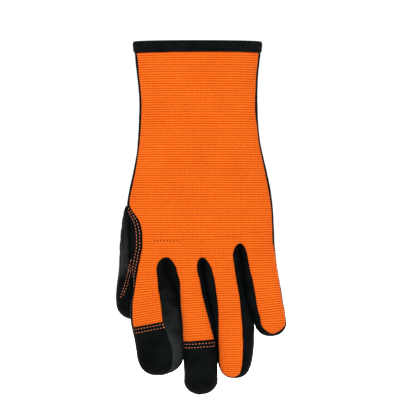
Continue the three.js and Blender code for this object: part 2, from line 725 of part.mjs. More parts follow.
const pieces = [
  { name: 'back_panel', look: looks.knit, thickness: wallThickness },
  { name: 'index_tip_cap', look: looks.leather, thickness: wallThickness },
  { name: 'middle_tip_cap', look: looks.leather, thickness: wallThickness },
  { name: 'fourchette_index_middle', look: looks.side, thickness: wallThickness },
  { name: 'fourchette_middle_ring', look: looks.side, thickness: wallThickness },
  { name: 'fourchette_ring_little', look: looks.side, thickness: wallThickness },
  { name: 'palm_panel', look: looks.leather, thickness: wallThickness },
  { name: 'thumb_saddle', look: looks.leather, thickness: wallThickness },
  { name: 'thumb_sleeve', look: looks.leather, thickness: wallThickness, gap: thumbRootGap },
  { name: 'cuff_binding', look: looks.binding, thickness: bindingThickness },
];

const glove = new THREE.Group();
for (const { name, look, thickness, gap = seamGap / 2 } of pieces) {
  const mesh = new THREE.Mesh(
    solidFrom(faces.filter((face) => face.piece === name), 0, thickness, gap),
    new THREE.MeshStandardMaterial(look),
  );
  mesh.name = name;
  glove.add(mesh);
}
const patch = new THREE.Mesh(
  solidFrom(faces.filter((face) => face.covered), seamGap + patchThickness, patchThickness, seamGap),
  new THREE.MeshStandardMaterial(looks.patch),
);
patch.name = 'palm_reinforcement';
glove.add(patch);

export default glove;
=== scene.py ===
# Mechanic glove for the left hand, empty and hanging from its cuff with the fingers down.
# Worked out in millimetres, built in metres. The back of the hand faces -Y and the thumb is on the -X side.
import math
from types import SimpleNamespace
import bpy
import numpy as np
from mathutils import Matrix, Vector
from mathutils.bvhtree import BVHTree
from mathutils.kdtree import KDTree


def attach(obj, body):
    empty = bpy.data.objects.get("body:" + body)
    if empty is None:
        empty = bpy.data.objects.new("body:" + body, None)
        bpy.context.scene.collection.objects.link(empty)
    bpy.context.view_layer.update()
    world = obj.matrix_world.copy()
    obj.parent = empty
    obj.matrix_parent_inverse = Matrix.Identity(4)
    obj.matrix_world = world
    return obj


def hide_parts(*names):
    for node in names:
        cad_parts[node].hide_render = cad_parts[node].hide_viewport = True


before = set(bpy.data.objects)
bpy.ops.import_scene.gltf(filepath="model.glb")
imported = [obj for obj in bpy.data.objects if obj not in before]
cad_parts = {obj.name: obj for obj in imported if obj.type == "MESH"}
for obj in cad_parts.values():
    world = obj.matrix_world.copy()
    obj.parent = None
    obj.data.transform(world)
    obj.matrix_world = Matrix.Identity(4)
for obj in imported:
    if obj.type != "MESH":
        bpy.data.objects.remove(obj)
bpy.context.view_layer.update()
mm = 0.001

# Named sizes, in millimetres
gloveLength = 240
handWidth = 104.7
handDepth = 25
fingerDepth = 18.6
thumbDepth = 18
bindingWidth = 7
fingerGap = 0.6
slotRounding = 8.5
slotTrim = 0.0055 * handWidth  # the knit's edge rolls in, so it is drawn this much nearer the valley
webDrop = 7
fingerCurl = 6
blendAbove = 16
blendBelow = 20
rowStep = 0.4
ribPitch = 1.6
ribHeight = 0.24
stitchPitch = 2.1
patchTop = 53  # upper edge of the palm's second layer
crotchEase = {"reach": 22.0, "rounds": 500, "strength": 0.7, "behind": (-9, -3)}  # smoothing of the thumb's crotch
tiltEase = {"share": 0.8, "before": 12, "after": 6}  # how the slope of the rows is taken out again near the tips
grooveDepth, grooveWidth = 0.22, 0.75  # how thread pulls the cloth in
weldSteps = 2000  # points that round to the same place at so many steps a millimetre are one

# Levels down the glove, as shares of its length
thumbTop = 0.4625 * gloveLength
littleCrotch = 0.5721 * gloveLength
longCrotch = 0.6112 * gloveLength
curlStart = 0.55 * gloveLength
joinEnd = longCrotch + blendBelow
windowEnd = longCrotch + 0.36 * blendBelow

sectionPower = 2.3  # 2 is an ellipse, more is boxier
valleySoftness = 0.12
palmSeamShare = 0.72
outerPalmSeamShare = 0.8
outerLimit = 0.985
saddleShare = 0.2
windowPalmShare = 0.4
patchInnerShare = 0.6  # how much of the index's and the little finger's strip the second layer covers
patchOuterShare = 0.8


def table(columns, *rows):
    return {name: np.array([row[k] for row in rows], float) for k, name in enumerate(columns.split())}


# Outline of the hand: left and right are shares of its width, depth of its depth
outline = table(
    "drop left right depth",
    (0, -0.4091, 0.4286, 0.64), (0.0941, -0.3864, 0.4065, 0.58), (0.1791, -0.3701, 0.4, 0.55),
    (0.2783, -0.3799, 0.4195, 0.53), (0.3689, -0.4123, 0.4623, 0.52), (0.4341, -0.4416, 0.4909, 0.51),
    (0.4823, -0.4623, 0.5052, 0.5), (0.522, -0.4792, 0.5097, 0.5), (0.5616, -0.487, 0.5117, 0.5),
    (0.5956, -0.4838, 0.5195, 0.49), (0.6296, -0.4662, 0.5286, 0.48), (0.6636, -0.4468, 0.539, 0.47),
    (0.7033, -0.4338, 0.5532, 0.46), (0.743, -0.4292, 0.5675, 0.46), (0.777, -0.4266, 0.5855, 0.46),
    (0.811, -0.413, 0.5944, 0.46), (0.8393, -0.3987, 0.5944, 0.46), (0.879, -0.3883, 0.5844, 0.46))
# Distance of the knit's thumb-side edge from the outline
saddleEdge = table(
    "drop reach",
    (0, 0.013), (0.437, 0.013), (0.4596, 0.0182), (0.4766, 0.0403), (0.4908, 0.0714), (0.5078, 0.1039),
    (0.5276, 0.1247), (0.5531, 0.1364), (0.5786, 0.1357), (0.607, 0.1169), (0.641, 0.0812),
    (0.675, 0.0468), (0.7033, 0.0227), (0.743, 0.013), (0.845, 0.0104))
littleEdge = table(  # and the same on the little finger's side
    "drop reach",
    (0, 0.0117), (0.5616, 0.0117), (0.59, 0.006), (0.62, 0), (0.77, 0), (0.8, 0.006), (0.8405, 0.0117))
# Slots between the fingers: where two fingers touch, and the knit's edges before and after
slotColumns = "drop valley before after"
slots = [
    {"crotch": longCrotch, "rows": table(
        slotColumns,
        (0, -0.1818, 0.0649, 0.0519), (0.6107, -0.1916, 0.0682, 0.0519), (0.6466, -0.1851, 0.0747, 0.0636),
        (0.675, -0.1591, 0.0942, 0.0552), (0.709, -0.1266, 0.1201, 0.0266), (0.743, -0.113, 0.1208, 0.0175),
        (0.7883, -0.0987, 0.125, 0.0143), (0.845, -0.0896, 0.098, 0.0117), (0.879, -0.0818, 0.0805, 0.0084),
        (1, -0.0779, 0.0779, 0.0149))},
    {"crotch": longCrotch, "rows": table(
        slotColumns,
        (0, 0.0195, 0.039, 0.0455), (0.6107, 0.0409, 0.0442, 0.0468), (0.6466, 0.0474, 0.0442, 0.0604),
        (0.675, 0.0584, 0.039, 0.0649), (0.7203, 0.0766, 0.0377, 0.0617), (0.7657, 0.0994, 0.0344, 0.0494),
        (0.8167, 0.1208, 0.026, 0.0305), (0.8507, 0.1312, 0.0182, 0.0208), (0.9017, 0.1416, 0.0182, 0.0143),
        (1, 0.1416, 0.0169, 0.0208))},
    {"crotch": littleCrotch, "rows": table(
        slotColumns,
        (0, 0.2273, 0.0455, 0.0455), (0.5721, 0.2864, 0.0494, 0.0416), (0.607, 0.2961, 0.0604, 0.0416),
        (0.641, 0.3091, 0.0623, 0.0416), (0.675, 0.3156, 0.0558, 0.0545), (0.7203, 0.3299, 0.0506, 0.0597),
        (0.7543, 0.3506, 0.063, 0.0519), (0.7883, 0.378, 0.0845, 0.0441), (0.8223, 0.384, 0.0853, 0.0445),
        (0.8592, 0.3766, 0.074, 0.0519), (0.9583, 0.357, 0.0647, 0.0716))}]
# Fingers from the thumb side, tip and cap as levels. round: length of the rounded end, end: how slim it gets,
# tilt: how much its rows slope, fade: how late the knit closes, close: how blunt the tip is, hug: how far the cap's
# edges run out to the sides, strip and knit: how far the side strips and the knit run round the tip
fingers = [
    {"name": "index", "tip": 0.947, "cap": 0.7974, "round": 0.1624, "end": 0.92, "tilt": 0.2, "fade": 1,
     "close": 2.5, "hug": (1, 0.15), "strip": 0.4},
    {"name": "middle", "tip": 1.004, "cap": 0.8484, "round": 0.1041, "end": 0.92, "tilt": 0.07, "fade": 1,
     "close": 2.2, "hug": (0.4, 1), "strip": 0.4},
    {"name": "ring", "tip": 0.9569, "cap": None, "round": 0.1433, "end": 0.88, "tilt": 0.02, "fade": 0.8,
     "close": 2.6, "hug": (1, 1), "strip": 0.2, "knit": 0.4},
    {"name": "little", "tip": 0.8375, "cap": None, "round": 0.0957, "end": 0.82, "tilt": 0.12, "fade": 0,
     "close": 2.2, "hug": (1, 1), "strip": 0.2, "knit": 0.3}]
thumbStations = table(
    "drop centre half depth",
    (0.6891, -0.4171, 0.1036, 1), (0.726, -0.4216, 0.1059, 1), (0.7487, -0.4197, 0.1059, 0.97),
    (0.794, -0.4106, 0.1059, 0.93))
thumbJoin, thumbClose, thumbTip = (0.6891 * gloveLength, 0.7487 * gloveLength, 0.794 * gloveLength)
thumbLeave, thumbArrive = 20, 26  # how straight the sleeve leaves the hand and meets the thumb
crotchLeave, crotchArrive = 8, 9
thumbRootRows, thumbTipRows = 60, 30
# Drops of the rows that set how the thumb's rim turns, and its corners in degrees round the thumb
thumbRimDrops = np.array([
    111, 116.26, 121.52, 126.78, 132.04, 137.3, 137.89, 139.65, 142.58, 146.69, 147.49, 149.89, 153.89])
thumbCorners = {"frontTop": 165, "frontBottom": 210, "palmBottom": 350, "palmTop": 440}


# Small maths
def lerp(a, b, t):
    return a + (b - a) * t


def smooth(v, low, high):
    t = np.clip((v - low) / (high - low), 0, 1)
    return t * t * (3 - 2 * t)


def cubic(x, y, at):
    # smooth curve through the points, without overshoot
    rise = np.diff(y) / np.diff(x)
    product = rise[:-1] * rise[1:]
    total = rise[:-1] + rise[1:]
    inner = np.where(product > 0, 2 * product / np.where(np.abs(total) < 1e-12, 1, total), 0)
    slope = np.concatenate([rise[:1], inner, rise[-1:]])
    at = np.clip(at, x[0], x[-1])
    k = np.clip(np.searchsorted(x, at, side="right") - 1, 0, len(x) - 2)
    span = x[k + 1] - x[k]
    t = (at - x[k]) / span
    start = (1 + 2 * t) * (1 - t) ** 2 * y[k] + t * (1 - t) ** 2 * span * slope[k]
    return start + t * t * (3 - 2 * t) * y[k + 1] + t * t * (t - 1) * span * slope[k + 1]


def follow(rows, column, drop):
    return cubic(rows["drop"], rows[column], np.asarray(drop, float) / gloveLength)


def bend(v):
    return np.sign(v) * np.abs(v) ** (2 / sectionPower)


def angleOf(share):
    v = np.clip(share, -1, 1)
    return np.arccos(np.sign(v) * np.abs(v) ** (sectionPower / 2))


def heightAt(share):
    return np.maximum(0, 1 - np.abs(np.clip(share, -1, 1)) ** sectionPower) ** (1 / sectionPower)


def unit(v):
    return v / np.maximum(np.linalg.norm(v, axis=-1, keepdims=True), 1e-12)


def noise(points, size, seed):
    # value noise on a lattice, the same in every run
    q = np.asarray(points, float) / size + 64.5
    cell = np.floor(q).astype(np.int64)
    f = q - cell
    f = f * f * (3 - 2 * f)
    total = 0
    for corner in np.ndindex(2, 2, 2):
        n = ((cell + corner) * [374761393, 668265263, 2147483647]).sum(axis=-1) + seed * 974711
        n = (n ^ (n >> 13)) * 1274126177 & 0x7FFFFFFF
        n = (n ^ (n >> 16)) & 0xFFFF
        total = total + np.where(corner, f, 1 - f).prod(axis=-1) * (n / 32767.5 - 1)
    return total


# Cross-sections of the hand and fingers
def valleyAt(k, drop):
    return follow(slots[k]["rows"], "valley", drop) * handWidth


def handSection(drop):
    left = follow(outline, "left", drop) * handWidth
    right = follow(outline, "right", drop) * handWidth
    depth = follow(outline, "depth", drop) * handDepth
    return SimpleNamespace(centre=(left + right) / 2, half=(right - left) / 2, depth=depth)


def tipOf(i):
    return fingers[i]["tip"] * gloveLength


def closeOf(i):
    return tipOf(i) - fingers[i]["round"] * handWidth


def roundTip(i, share):
    # level at a share of the way round a finger's end, in half turns
    return lerp(closeOf(i), tipOf(i), math.sin(share * math.pi))


def knitEndOf(i):
    return roundTip(i, fingers[i].get("knit", 0.4))


def sideEndOf(i):
    return roundTip(i, fingers[i]["strip"])


def isOutside(i, side):
    # the two sides with no finger next to them
    return (i == 0 and side < 0) or (i == 3 and side > 0)


def fingerSection(i, drop):
    hand = handSection(drop)
    left = hand.centre - hand.half if i == 0 else valleyAt(i - 1, drop) + fingerGap / 2
    right = hand.centre + hand.half if i == 3 else valleyAt(i, drop) - fingerGap / 2
    slim = lerp(1, fingers[i]["end"], np.clip((drop - joinEnd) / (tipOf(i) - joinEnd), 0, 1))
    past = np.clip((drop - closeOf(i)) / (tipOf(i) - closeOf(i)), 0, 1)
    power = fingers[i]["close"]
    closing = np.maximum(0, 1 - past ** power) ** (1 / power)
    full = (right - left) / 2
    depth = closing * slim * fingerDepth / 2
    return SimpleNamespace(centre=(left + right) / 2, half=closing * full, depth=depth, full=full)


def frontSeamShare(i, side, drop):
    held = np.minimum(drop, closeOf(i))
    section = fingerSection(i, held)
    if side < 0 and i == 0:
        edge = section.centre - section.full + follow(saddleEdge, "reach", held) * handWidth
    elif side < 0:
        edge = valleyAt(i - 1, held) + follow(slots[i - 1]["rows"], "after", held) * handWidth - slotTrim
    elif i == 3:
        edge = section.centre + section.full - follow(littleEdge, "reach", held) * handWidth
    else:
        edge = valleyAt(i, held) - follow(slots[i]["rows"], "before", held) * handWidth + slotTrim
    share = np.clip((edge - section.centre) / section.full, -outerLimit, outerLimit)
    past = np.clip((drop - closeOf(i)) / (tipOf(i) - closeOf(i)), 0, 1)
    hug = fingers[i]["hug"][0 if side < 0 else 1]  # how far the cap's edge runs out to the finger's side
    return lerp(share, side * outerLimit, hug * smooth(past, 0, 1)) if fingers[i]["cap"] else share


def frontSeams(i, drop):
    left, right = frontSeamShare(i, -1, drop), frontSeamShare(i, 1, drop)
    if fingers[i]["cap"]:
        return left, right
    start = lerp(closeOf(i), knitEndOf(i), fingers[i]["fade"])
    past = np.clip((drop - start) / max(knitEndOf(i) - start, 1e-6), 0, 1)
    draw = np.sqrt(np.maximum(0, 1 - past ** 2))
    middle = (left + right) / 2
    return lerp(middle, left, draw), lerp(middle, right, draw)


def opening(k, drop):
    s = np.clip((drop - slots[k]["crotch"]) / slotRounding, 0, 1)
    return np.sqrt(np.maximum(0, 1 - (1 - s) ** 2))


def fingerShare(i, u, drop):
    crotch = lerp(slots[max(0, i - 1)]["crotch"], slots[min(2, i)]["crotch"], u)
    return smooth(drop, crotch - blendAbove, crotch + blendBelow)


def spread(section, start, end, u):
    half = np.maximum(section.half, 1e-6)
    a = angleOf((start - section.centre) / half)
    b = angleOf((end - section.centre) / half)
    span = bend(np.cos(b)) - bend(np.cos(a))
    flat = (np.abs(span) < 1e-6) | (section.half < 1e-6)
    part = (bend(np.cos(lerp(a, b, u))) - bend(np.cos(a))) / np.where(flat, 1, span)
    return lerp(start, end, np.where(flat, u, part))


def stripPoint(i, u, drop, face):
    # back (face -1) or palm (face 1) of strip i, at share u across it
    hand, finger = handSection(drop), fingerSection(i, drop)
    left, right = frontSeams(i, drop) if face < 0 else (-palmSeamShare, palmSeamShare)

    def outer(side, blend):
        if face < 0:
            return finger.centre + finger.half * (left if side < 0 else right)
        handEdge = hand.centre + side * outerPalmSeamShare * hand.half
        return lerp(handEdge, finger.centre + side * outerPalmSeamShare * finger.half, blend)

    if i == 0:
        start = outer(-1, fingerShare(i, 0, drop))
    else:
        start = lerp(valleyAt(i - 1, drop), finger.centre + finger.half * left, opening(i - 1, drop))
    if i == 3:
        end = outer(1, fingerShare(i, 1, drop))
    else:
        end = lerp(valleyAt(i, drop), finger.centre + finger.half * right, opening(i, drop))
    blend = fingerShare(i, u, drop)
    x = lerp(spread(hand, start, end, u), spread(finger, start, end, u), blend)
    soft = 1 - valleySoftness * (1 - blend)
    handHeight = hand.depth * heightAt((x - hand.centre) / hand.half)
    across = np.where(finger.half > 1e-6, (x - finger.centre) / np.maximum(finger.half, 1e-6), 0)
    return x, face * lerp(handHeight, finger.depth * heightAt(np.clip(across, -1, 1) * soft), blend)


def sidePoint(i, side, w, drop):
    # side of finger i, from its front seam (w 0) round to its palm seam (w 1)
    strip = 0 if side < 0 else 1
    frontX, frontY = stripPoint(i, strip, drop, -1)
    backX, backY = stripPoint(i, strip, drop, 1)
    hand, finger = handSection(drop), fingerSection(i, drop)
    seam = frontSeams(i, drop)[strip]
    outside = isOutside(i, side)
    palmShare = side * (outerPalmSeamShare if outside else palmSeamShare)

    def arc(section, a, b):
        turn = lerp(a, -b, w) if side > 0 else lerp(a, 2 * math.pi - b, w)
        ends = [(section.centre + section.half * bend(np.cos(q)), face * section.depth * bend(np.sin(q)))
                for q, face in ((a, -1), (b, 1))]
        return section.centre + section.half * bend(np.cos(turn)), -section.depth * bend(np.sin(turn)), ends

    def fit(x, y, start, end):
        return (x + (1 - w) * (frontX - start[0]) + w * (backX - end[0]),
                y + (1 - w) * (frontY - start[1]) + w * (backY - end[1]))

    fx, fy, fends = arc(finger, angleOf(seam), angleOf(palmShare))
    fingerX, fingerY = fit(fx, fy, *fends)
    if outside:
        blend = fingerShare(i, strip, drop)
        seamX = finger.centre + finger.half * seam
        hx, hy, hends = arc(hand, angleOf((seamX - hand.centre) / hand.half), angleOf(palmShare))
        handX, handY = fit(hx, hy, (seamX, hends[0][1]), hends[1])
        return lerp(handX, fingerX, blend), lerp(handY, fingerY, blend)
    k = i - 1 if side < 0 else i
    opened, valley = opening(k, drop), valleyAt(k, drop)
    x = lerp(valley, fx, opened)
    x = x + (1 - w) * (frontX - lerp(valley, fends[0][0], opened)) + w * (backX - lerp(valley, fends[1][0], opened))
    return x, lerp(lerp(frontY, backY, w), fingerY, opened)


def curlAt(drop):
    return fingerCurl * (np.maximum(0, drop - curlStart) / (gloveLength - curlStart)) ** 2


def place(x, y, i, w, drop):
    web = webDrop * w * np.maximum(0, 1 - ((drop - longCrotch) / (blendAbove + blendBelow)) ** 2) ** 2
    nearTip = smooth(drop, closeOf(i) - tiltEase["before"], closeOf(i) + tiltEase["after"])
    slope = fingers[i]["tilt"] * (smooth(drop, longCrotch, joinEnd + blendBelow) * (1 - tiltEase["share"] * nearTip))
    down = drop + web - slope * (x - fingerSection(i, drop).centre)
    return np.stack(np.broadcast_arrays(x, y + curlAt(down), -down), axis=-1)


# Rows of the surface, 4 to a rib, closer just below each crotch and towards the tips
def rowsBetween(start, end):
    count = max(1, round((end - start) / rowStep))
    return list(start + (end - start) * np.arange(1, count + 1) / count)


def crotchRows(start, end):
    near = [start + step for step in (0.02, 0.08, 0.2)]
    return near + rowsBetween(start, end)


def roundedRows(start, end, count):
    return list(lerp(start, end, np.sin(np.arange(1, count + 1) / count * math.pi / 2)))


handDrops = [
    0.0, *rowsBetween(0, bindingWidth), *rowsBetween(bindingWidth, thumbTop), *rowsBetween(thumbTop, littleCrotch),
    *crotchRows(littleCrotch, longCrotch), *crotchRows(longCrotch, windowEnd), *rowsBetween(windowEnd, joinEnd)]


def fingerDrops(i):
    close, tip = closeOf(i), tipOf(i)
    stops = [joinEnd, fingers[i]["cap"] * gloveLength, close] if fingers[i]["cap"] else [joinEnd, close]
    body = [drop for a, b in zip(stops, stops[1:]) for drop in rowsBetween(a, b)]
    count = 5 * math.ceil((tip - close) * math.pi / 2 / rowStep / 5)
    return np.array([*handDrops, *body, *roundedRows(close, tip, count)])


def ribPhase(drops):
    step = np.diff(drops, prepend=drops[0])
    return np.cumsum(np.where(step > 0.8 * rowStep, 0.25, step / ribPitch))


# Columns of the surface as shares across a strip, closer at its seams
def mirrored(half):
    return np.array([*half, 0.5, *[1 - v for v in half[::-1]]])


stripShares = mirrored([0, 0.018, 0.045, 0.085, 0.14, 0.21, 0.3, 0.4])
palmShares = mirrored([0, 0.03, 0.085, 0.21, 0.3, 0.4])
sideShares = np.array([0, 0.03, 0.08, 0.16, 0.28, 0.42, 0.58, 0.72, 0.84, 0.92, 0.97, 1])
saddleShares = saddleShare * np.array([0, 0.06, 0.16, 0.3, 0.46, 0.62, 0.78, 0.9, 1])
pastSaddle = lerp(saddleShare, 1, np.array([0.02, 0.06, 0.13, 0.25, 0.4, 0.55, 0.7, 0.85, 0.94, 1]))
thumbSideShares = np.concatenate([saddleShares, pastSaddle])

# Faces know their piece by its place in this list
fourchettes = ["fourchette_index_middle", "fourchette_middle_ring", "fourchette_ring_little"]
pieceNames = ["back_panel", "index_tip_cap", "middle_tip_cap", *fourchettes,
              "palm_panel", "thumb_saddle", "thumb_sleeve", "cuff_binding"]
pieceId = {name: k for k, name in enumerate(pieceNames)}
noPiece = -1
grids = {}


def addGrid(name, points, pieces, phase=0.0, covered=None):
    # rows run down and columns to the right as seen from outside
    grids[name] = {
        "points": points, "pieces": pieces, "phase": np.broadcast_to(phase, points.shape[:2]),
        "covered": np.zeros(pieces.shape, bool) if covered is None else covered}


def cells(shape, base, *rules):
    # the piece of each cell: the base, or that of the last rule whose mask holds
    pieces = np.full(shape, pieceId[base])
    for mask, name in rules:
        pieces[np.broadcast_to(mask, shape)] = pieceId.get(name, noPiece)
    return pieces


for i, finger in enumerate(fingers):
    drops = fingerDrops(i)
    down = drops[:, None]
    phase = ribPhase(drops)[:, None]
    top = drops[:-1, None] + 1e-6
    atCuff = (top < bindingWidth, "cuff_binding")
    if finger["cap"]:
        atTip = (top >= finger["cap"] * gloveLength, finger["name"] + "_tip_cap")
    else:
        atTip = (top >= knitEndOf(i), "palm_panel")
    front = cells((len(top), len(stripShares) - 1), "back_panel", atTip, atCuff)
    addGrid(finger["name"] + "Front", place(*stripPoint(i, stripShares[None, :], down, -1), i, 0, down), front, phase)

    shape = (len(top), len(palmShares) - 1)
    palmU = 1 - (palmShares[:-1] + palmShares[1:])[None, :] / 2  # columns run the other way on the palm
    window = (top >= thumbTop) & (top < windowEnd) & (palmU < windowPalmShare) & (i == 0)
    palm = cells(shape, "palm_panel", atCuff, (window, None))
    patchShare = palmU > patchInnerShare if i == 0 else palmU < (patchOuterShare if i == 3 else 1)
    covered = np.broadcast_to((top >= patchTop) & (top < littleCrotch) & patchShare, shape)
    palmPoints = place(*stripPoint(i, 1 - palmShares[None, :], down, 1), i, 1, down)
    addGrid(finger["name"] + "Palm", palmPoints, palm, phase, covered)

    for side in (-1, 1):
        outside = isOutside(i, side)
        atThumb = outside and side < 0
        shares = thumbSideShares if atThumb else sideShares
        w = shares[None, :] if side > 0 else shares[None, ::-1]
        slot = i - 1 if side < 0 else i
        first = 0 if outside else int(np.argmin(np.abs(drops - slots[slot]["crotch"])))
        sideDown, sideTop = drops[first:, None], top[first:]
        rules = [atCuff if outside else (sideTop < sideEndOf(i), fourchettes[slot])]
        if atThumb:
            cellW = (w[:, :-1] + w[:, 1:]) / 2
            rules += [((sideTop >= thumbTop) & (sideTop < joinEnd) & (cellW < saddleShare), "thumb_saddle"),
                      ((sideTop >= thumbTop) & (sideTop < windowEnd) & (cellW > saddleShare), None)]
        pieces = cells((len(sideTop), len(shares) - 1), "palm_panel", *rules)
        sidePoints = place(*sidePoint(i, side, w, sideDown), i, w, sideDown)
        addGrid(finger["name"] + ("Left" if side < 0 else "Right"), sidePoints, pieces, phase[first:])
print("surface grids", sum(grid["pieces"].size for grid in grids.values()), "cells")


# One welded surface with normals that all pieces share
def weld():
    stacked = np.concatenate([grid["points"].reshape(-1, 3) for grid in grids.values()])
    phases = np.concatenate([grid["phase"].ravel() for grid in grids.values()])
    keys = np.round(stacked * weldSteps).astype(np.int64)
    _, firsts, inverse = np.unique(keys, axis=0, return_index=True, return_inverse=True)
    inverse = inverse.ravel()
    faces, owners, covers = [], [], []
    start = 0
    for grid in grids.values():
        rows, columns = grid["points"].shape[:2]
        index = inverse[start:start + rows * columns].reshape(rows, columns)
        grid["index"] = index
        start += rows * columns
        a, b, c, d = index[:-1, :-1], index[1:, :-1], index[1:, 1:], index[:-1, 1:]
        for corners in ((a, b, c), (a, c, d)):
            tri = np.stack(corners, axis=-1).reshape(-1, 3)
            owner = grid["pieces"].ravel()
            good = (owner != noPiece) & (tri[:, 0] != tri[:, 1]) & (tri[:, 1] != tri[:, 2]) & (tri[:, 2] != tri[:, 0])
            faces.append(tri[good])
            owners.append(owner[good])
            covers.append(grid["covered"].ravel()[good])
    return stacked[firsts], phases[firsts], np.concatenate(faces), np.concatenate(owners), np.concatenate(covers)


def surfaceNormals(points, faces, rounds=2):
    corner = points[faces]
    normal = unit(np.cross(corner[:, 1] - corner[:, 0], corner[:, 2] - corner[:, 0]))
    total = np.zeros_like(points)
    for k in range(3):
        p = unit(corner[:, (k + 1) % 3] - corner[:, k])
        q = unit(corner[:, (k + 2) % 3] - corner[:, k])
        angle = np.arccos(np.clip((p * q).sum(1), -1, 1))
        np.add.at(total, faces[:, k], normal * angle[:, None])
    total = unit(total)
    for _ in range(rounds):
        around = total.copy()
        for k in range(3):
            np.add.at(around, faces[:, k], total[faces[:, (k + 1) % 3]])
        total = unit(around)
    return total


points, _, faces, _, _ = weld()
rimNormals = surfaceNormals(points, faces, 0)

# Thumb: each point of the opening's rim runs down to its own place round the thumb
indexDrops = fingerDrops(0)
topRow, endRow = (int(np.argmin(np.abs(indexDrops - v))) for v in (thumbTop, windowEnd))
sideIndex, palmIndex = grids["indexLeft"]["index"], grids["indexPalm"]["index"]
saddleColumn = int(np.argmin(np.abs(thumbSideShares[::-1] - saddleShare)))
windowColumn = int(np.argmin(np.abs(palmShares - (1 - windowPalmShare))))
rimDrops = indexDrops[topRow:endRow + 1]
along = cubic(thumbRimDrops, np.arange(len(thumbRimDrops)) / (len(thumbRimDrops) - 1), rimDrops)
sidePart = (thumbSideShares[len(saddleShares) - 1:] - saddleShare) / (1 - saddleShare) * 4 / 6
palmPart = 4 / 6 + (1 - palmShares[windowColumn:][::-1]) / windowPalmShare * 2 / 6
across = np.concatenate([sidePart, palmPart[1:]])


def acrossRow(row):
    return np.concatenate([sideIndex[row, :saddleColumn + 1][::-1], palmIndex[row, windowColumn:-1][::-1]])


rimEdges = [
    ("frontTop", "frontBottom", along, sideIndex[topRow:endRow + 1, saddleColumn]),
    ("frontBottom", "palmBottom", across, acrossRow(endRow)),
    ("palmBottom", "palmTop", 1 - along[::-1], palmIndex[topRow:endRow + 1, windowColumn][::-1]),
    ("palmTop", "frontTop", 1 - across[::-1], acrossRow(topRow)[::-1])]
rim = np.concatenate([index[:-1] for _, _, _, index in rimEdges])
rimTurn = np.radians(np.concatenate([
    lerp(thumbCorners[a], thumbCorners[b] + (360 if b == "frontTop" else 0), t[:-1]) for a, b, t, _ in rimEdges]))
rim, rimTurn = np.append(rim, rim[0]), np.append(rimTurn, rimTurn[0])


def thumbPoint(turn, drop):
    centre = follow(thumbStations, "centre", drop) * handWidth
    past = np.clip((drop - thumbClose) / (thumbTip - thumbClose), 0, 1)
    closing = np.sqrt(np.maximum(0, 1 - past ** 2))
    depth = follow(thumbStations, "depth", drop) * thumbDepth / 2
    half = closing * follow(thumbStations, "half", drop) * handWidth
    x = centre + half * bend(np.cos(turn))
    y = fingerDepth / 2 + depth + curlAt(drop) + closing * depth * bend(np.sin(turn))
    return np.stack(np.broadcast_arrays(x, y, -drop), axis=-1)


start = points[rim]
low = np.clip((start[:, 2].max() - start[:, 2]) / (start[:, 2].max() - start[:, 2].min()), 0, 1)[:, None]
leave = np.array([0, 0, 1]) * (-1 + 0.85 * low) + rimNormals[rim] * (0.8 + 0.2 * low)
leave = unit(leave) * lerp(thumbLeave, crotchLeave, low ** 2)
end = thumbPoint(rimTurn, np.full(len(rim), thumbJoin))
arrive = np.array([0, 0, -1]) * lerp(thumbArrive, crotchArrive, low ** 2)
thumbRows = [start]
for t in np.arange(1, thumbRootRows + 1) / thumbRootRows:
    thumbRows.append(start * (1 + 2 * t) * (1 - t) ** 2 + leave * t * (1 - t) ** 2
                     + end * t * t * (3 - 2 * t) + arrive * t * t * (t - 1))
thumbDrops = [*rowsBetween(thumbJoin, thumbClose)[1::2], *roundedRows(thumbClose, thumbTip, thumbTipRows)]
thumbRows += [thumbPoint(rimTurn, np.full(len(rim), drop)) for drop in thumbDrops]
thumbPoints = np.stack(thumbRows)
addGrid("thumb", thumbPoints, np.full((thumbPoints.shape[0] - 1, len(rim) - 1), pieceId["thumb_sleeve"]))
points, phases, faces, owners, covers = weld()


def easeAround(centre, reach, rounds, strength, behind):
    # smooths the surface round a point, most at the middle
    far = np.linalg.norm(points - centre, axis=1)
    near = far < reach
    local = faces[near[faces].any(axis=1)]
    ends = np.concatenate([local[:, [0, 1]], local[:, [1, 2]], local[:, [2, 0]]])
    ends = np.unique(np.sort(ends, axis=1), axis=0)
    a, b = ends.T
    count = np.bincount(np.concatenate([a, b]), minlength=len(points))[near][:, None].clip(1)
    hold = strength * ((1 - smooth(far[near], 0, reach)) * smooth(points[near, 1], *behind))[:, None]
    for _ in range(rounds):
        total = np.zeros_like(points)
        np.add.at(total, a, points[b])
        np.add.at(total, b, points[a])
        points[near] += hold * (total[near] / count - points[near])


easeAround(start[low[:, 0] > 0.98].mean(axis=0), **crotchEase)
normals = surfaceNormals(points, faces)
print("welded surface", len(points), "points", len(faces), "faces")


# Stitch rows, drawn on the surface: each is a list of points with the outward direction
def measured(line):
    # how far each point of a line of points lies along it
    steps = np.linalg.norm(np.diff(line, axis=0), axis=1)
    return np.concatenate([[0], np.cumsum(steps)])


def pointAt(index, distance):
    # the point and direction at a distance along one line of the surface
    along, line = measured(points[index]), np.concatenate([points[index], normals[index]], axis=1)
    return [np.interp(distance, along, line[:, k]) for k in range(6)]


def split(found):
    found = np.array(found)
    return found[:, :3], unit(found[:, 3:])


def alongSaddle(distance):
    # points at a distance from the knit's edge, measured over the saddle
    index = grids["indexLeft"]["index"][saddleRows][:, ::-1]
    wide = [row for row in index if measured(points[row])[len(saddleShares) - 1] >= distance + saddleMargin]
    return split([pointAt(row, distance) for row in wide])


def acrossCap(i, distance):
    # points at a distance below the upper edge of a finger's cap
    row = int(np.argmin(np.abs(fingerDrops(i) - fingers[i]["cap"] * gloveLength)))
    index = grids[fingers[i]["name"] + "Front"]["index"][row:row + 40, 1:-1]
    return split([pointAt(column, distance) for column in index.T])


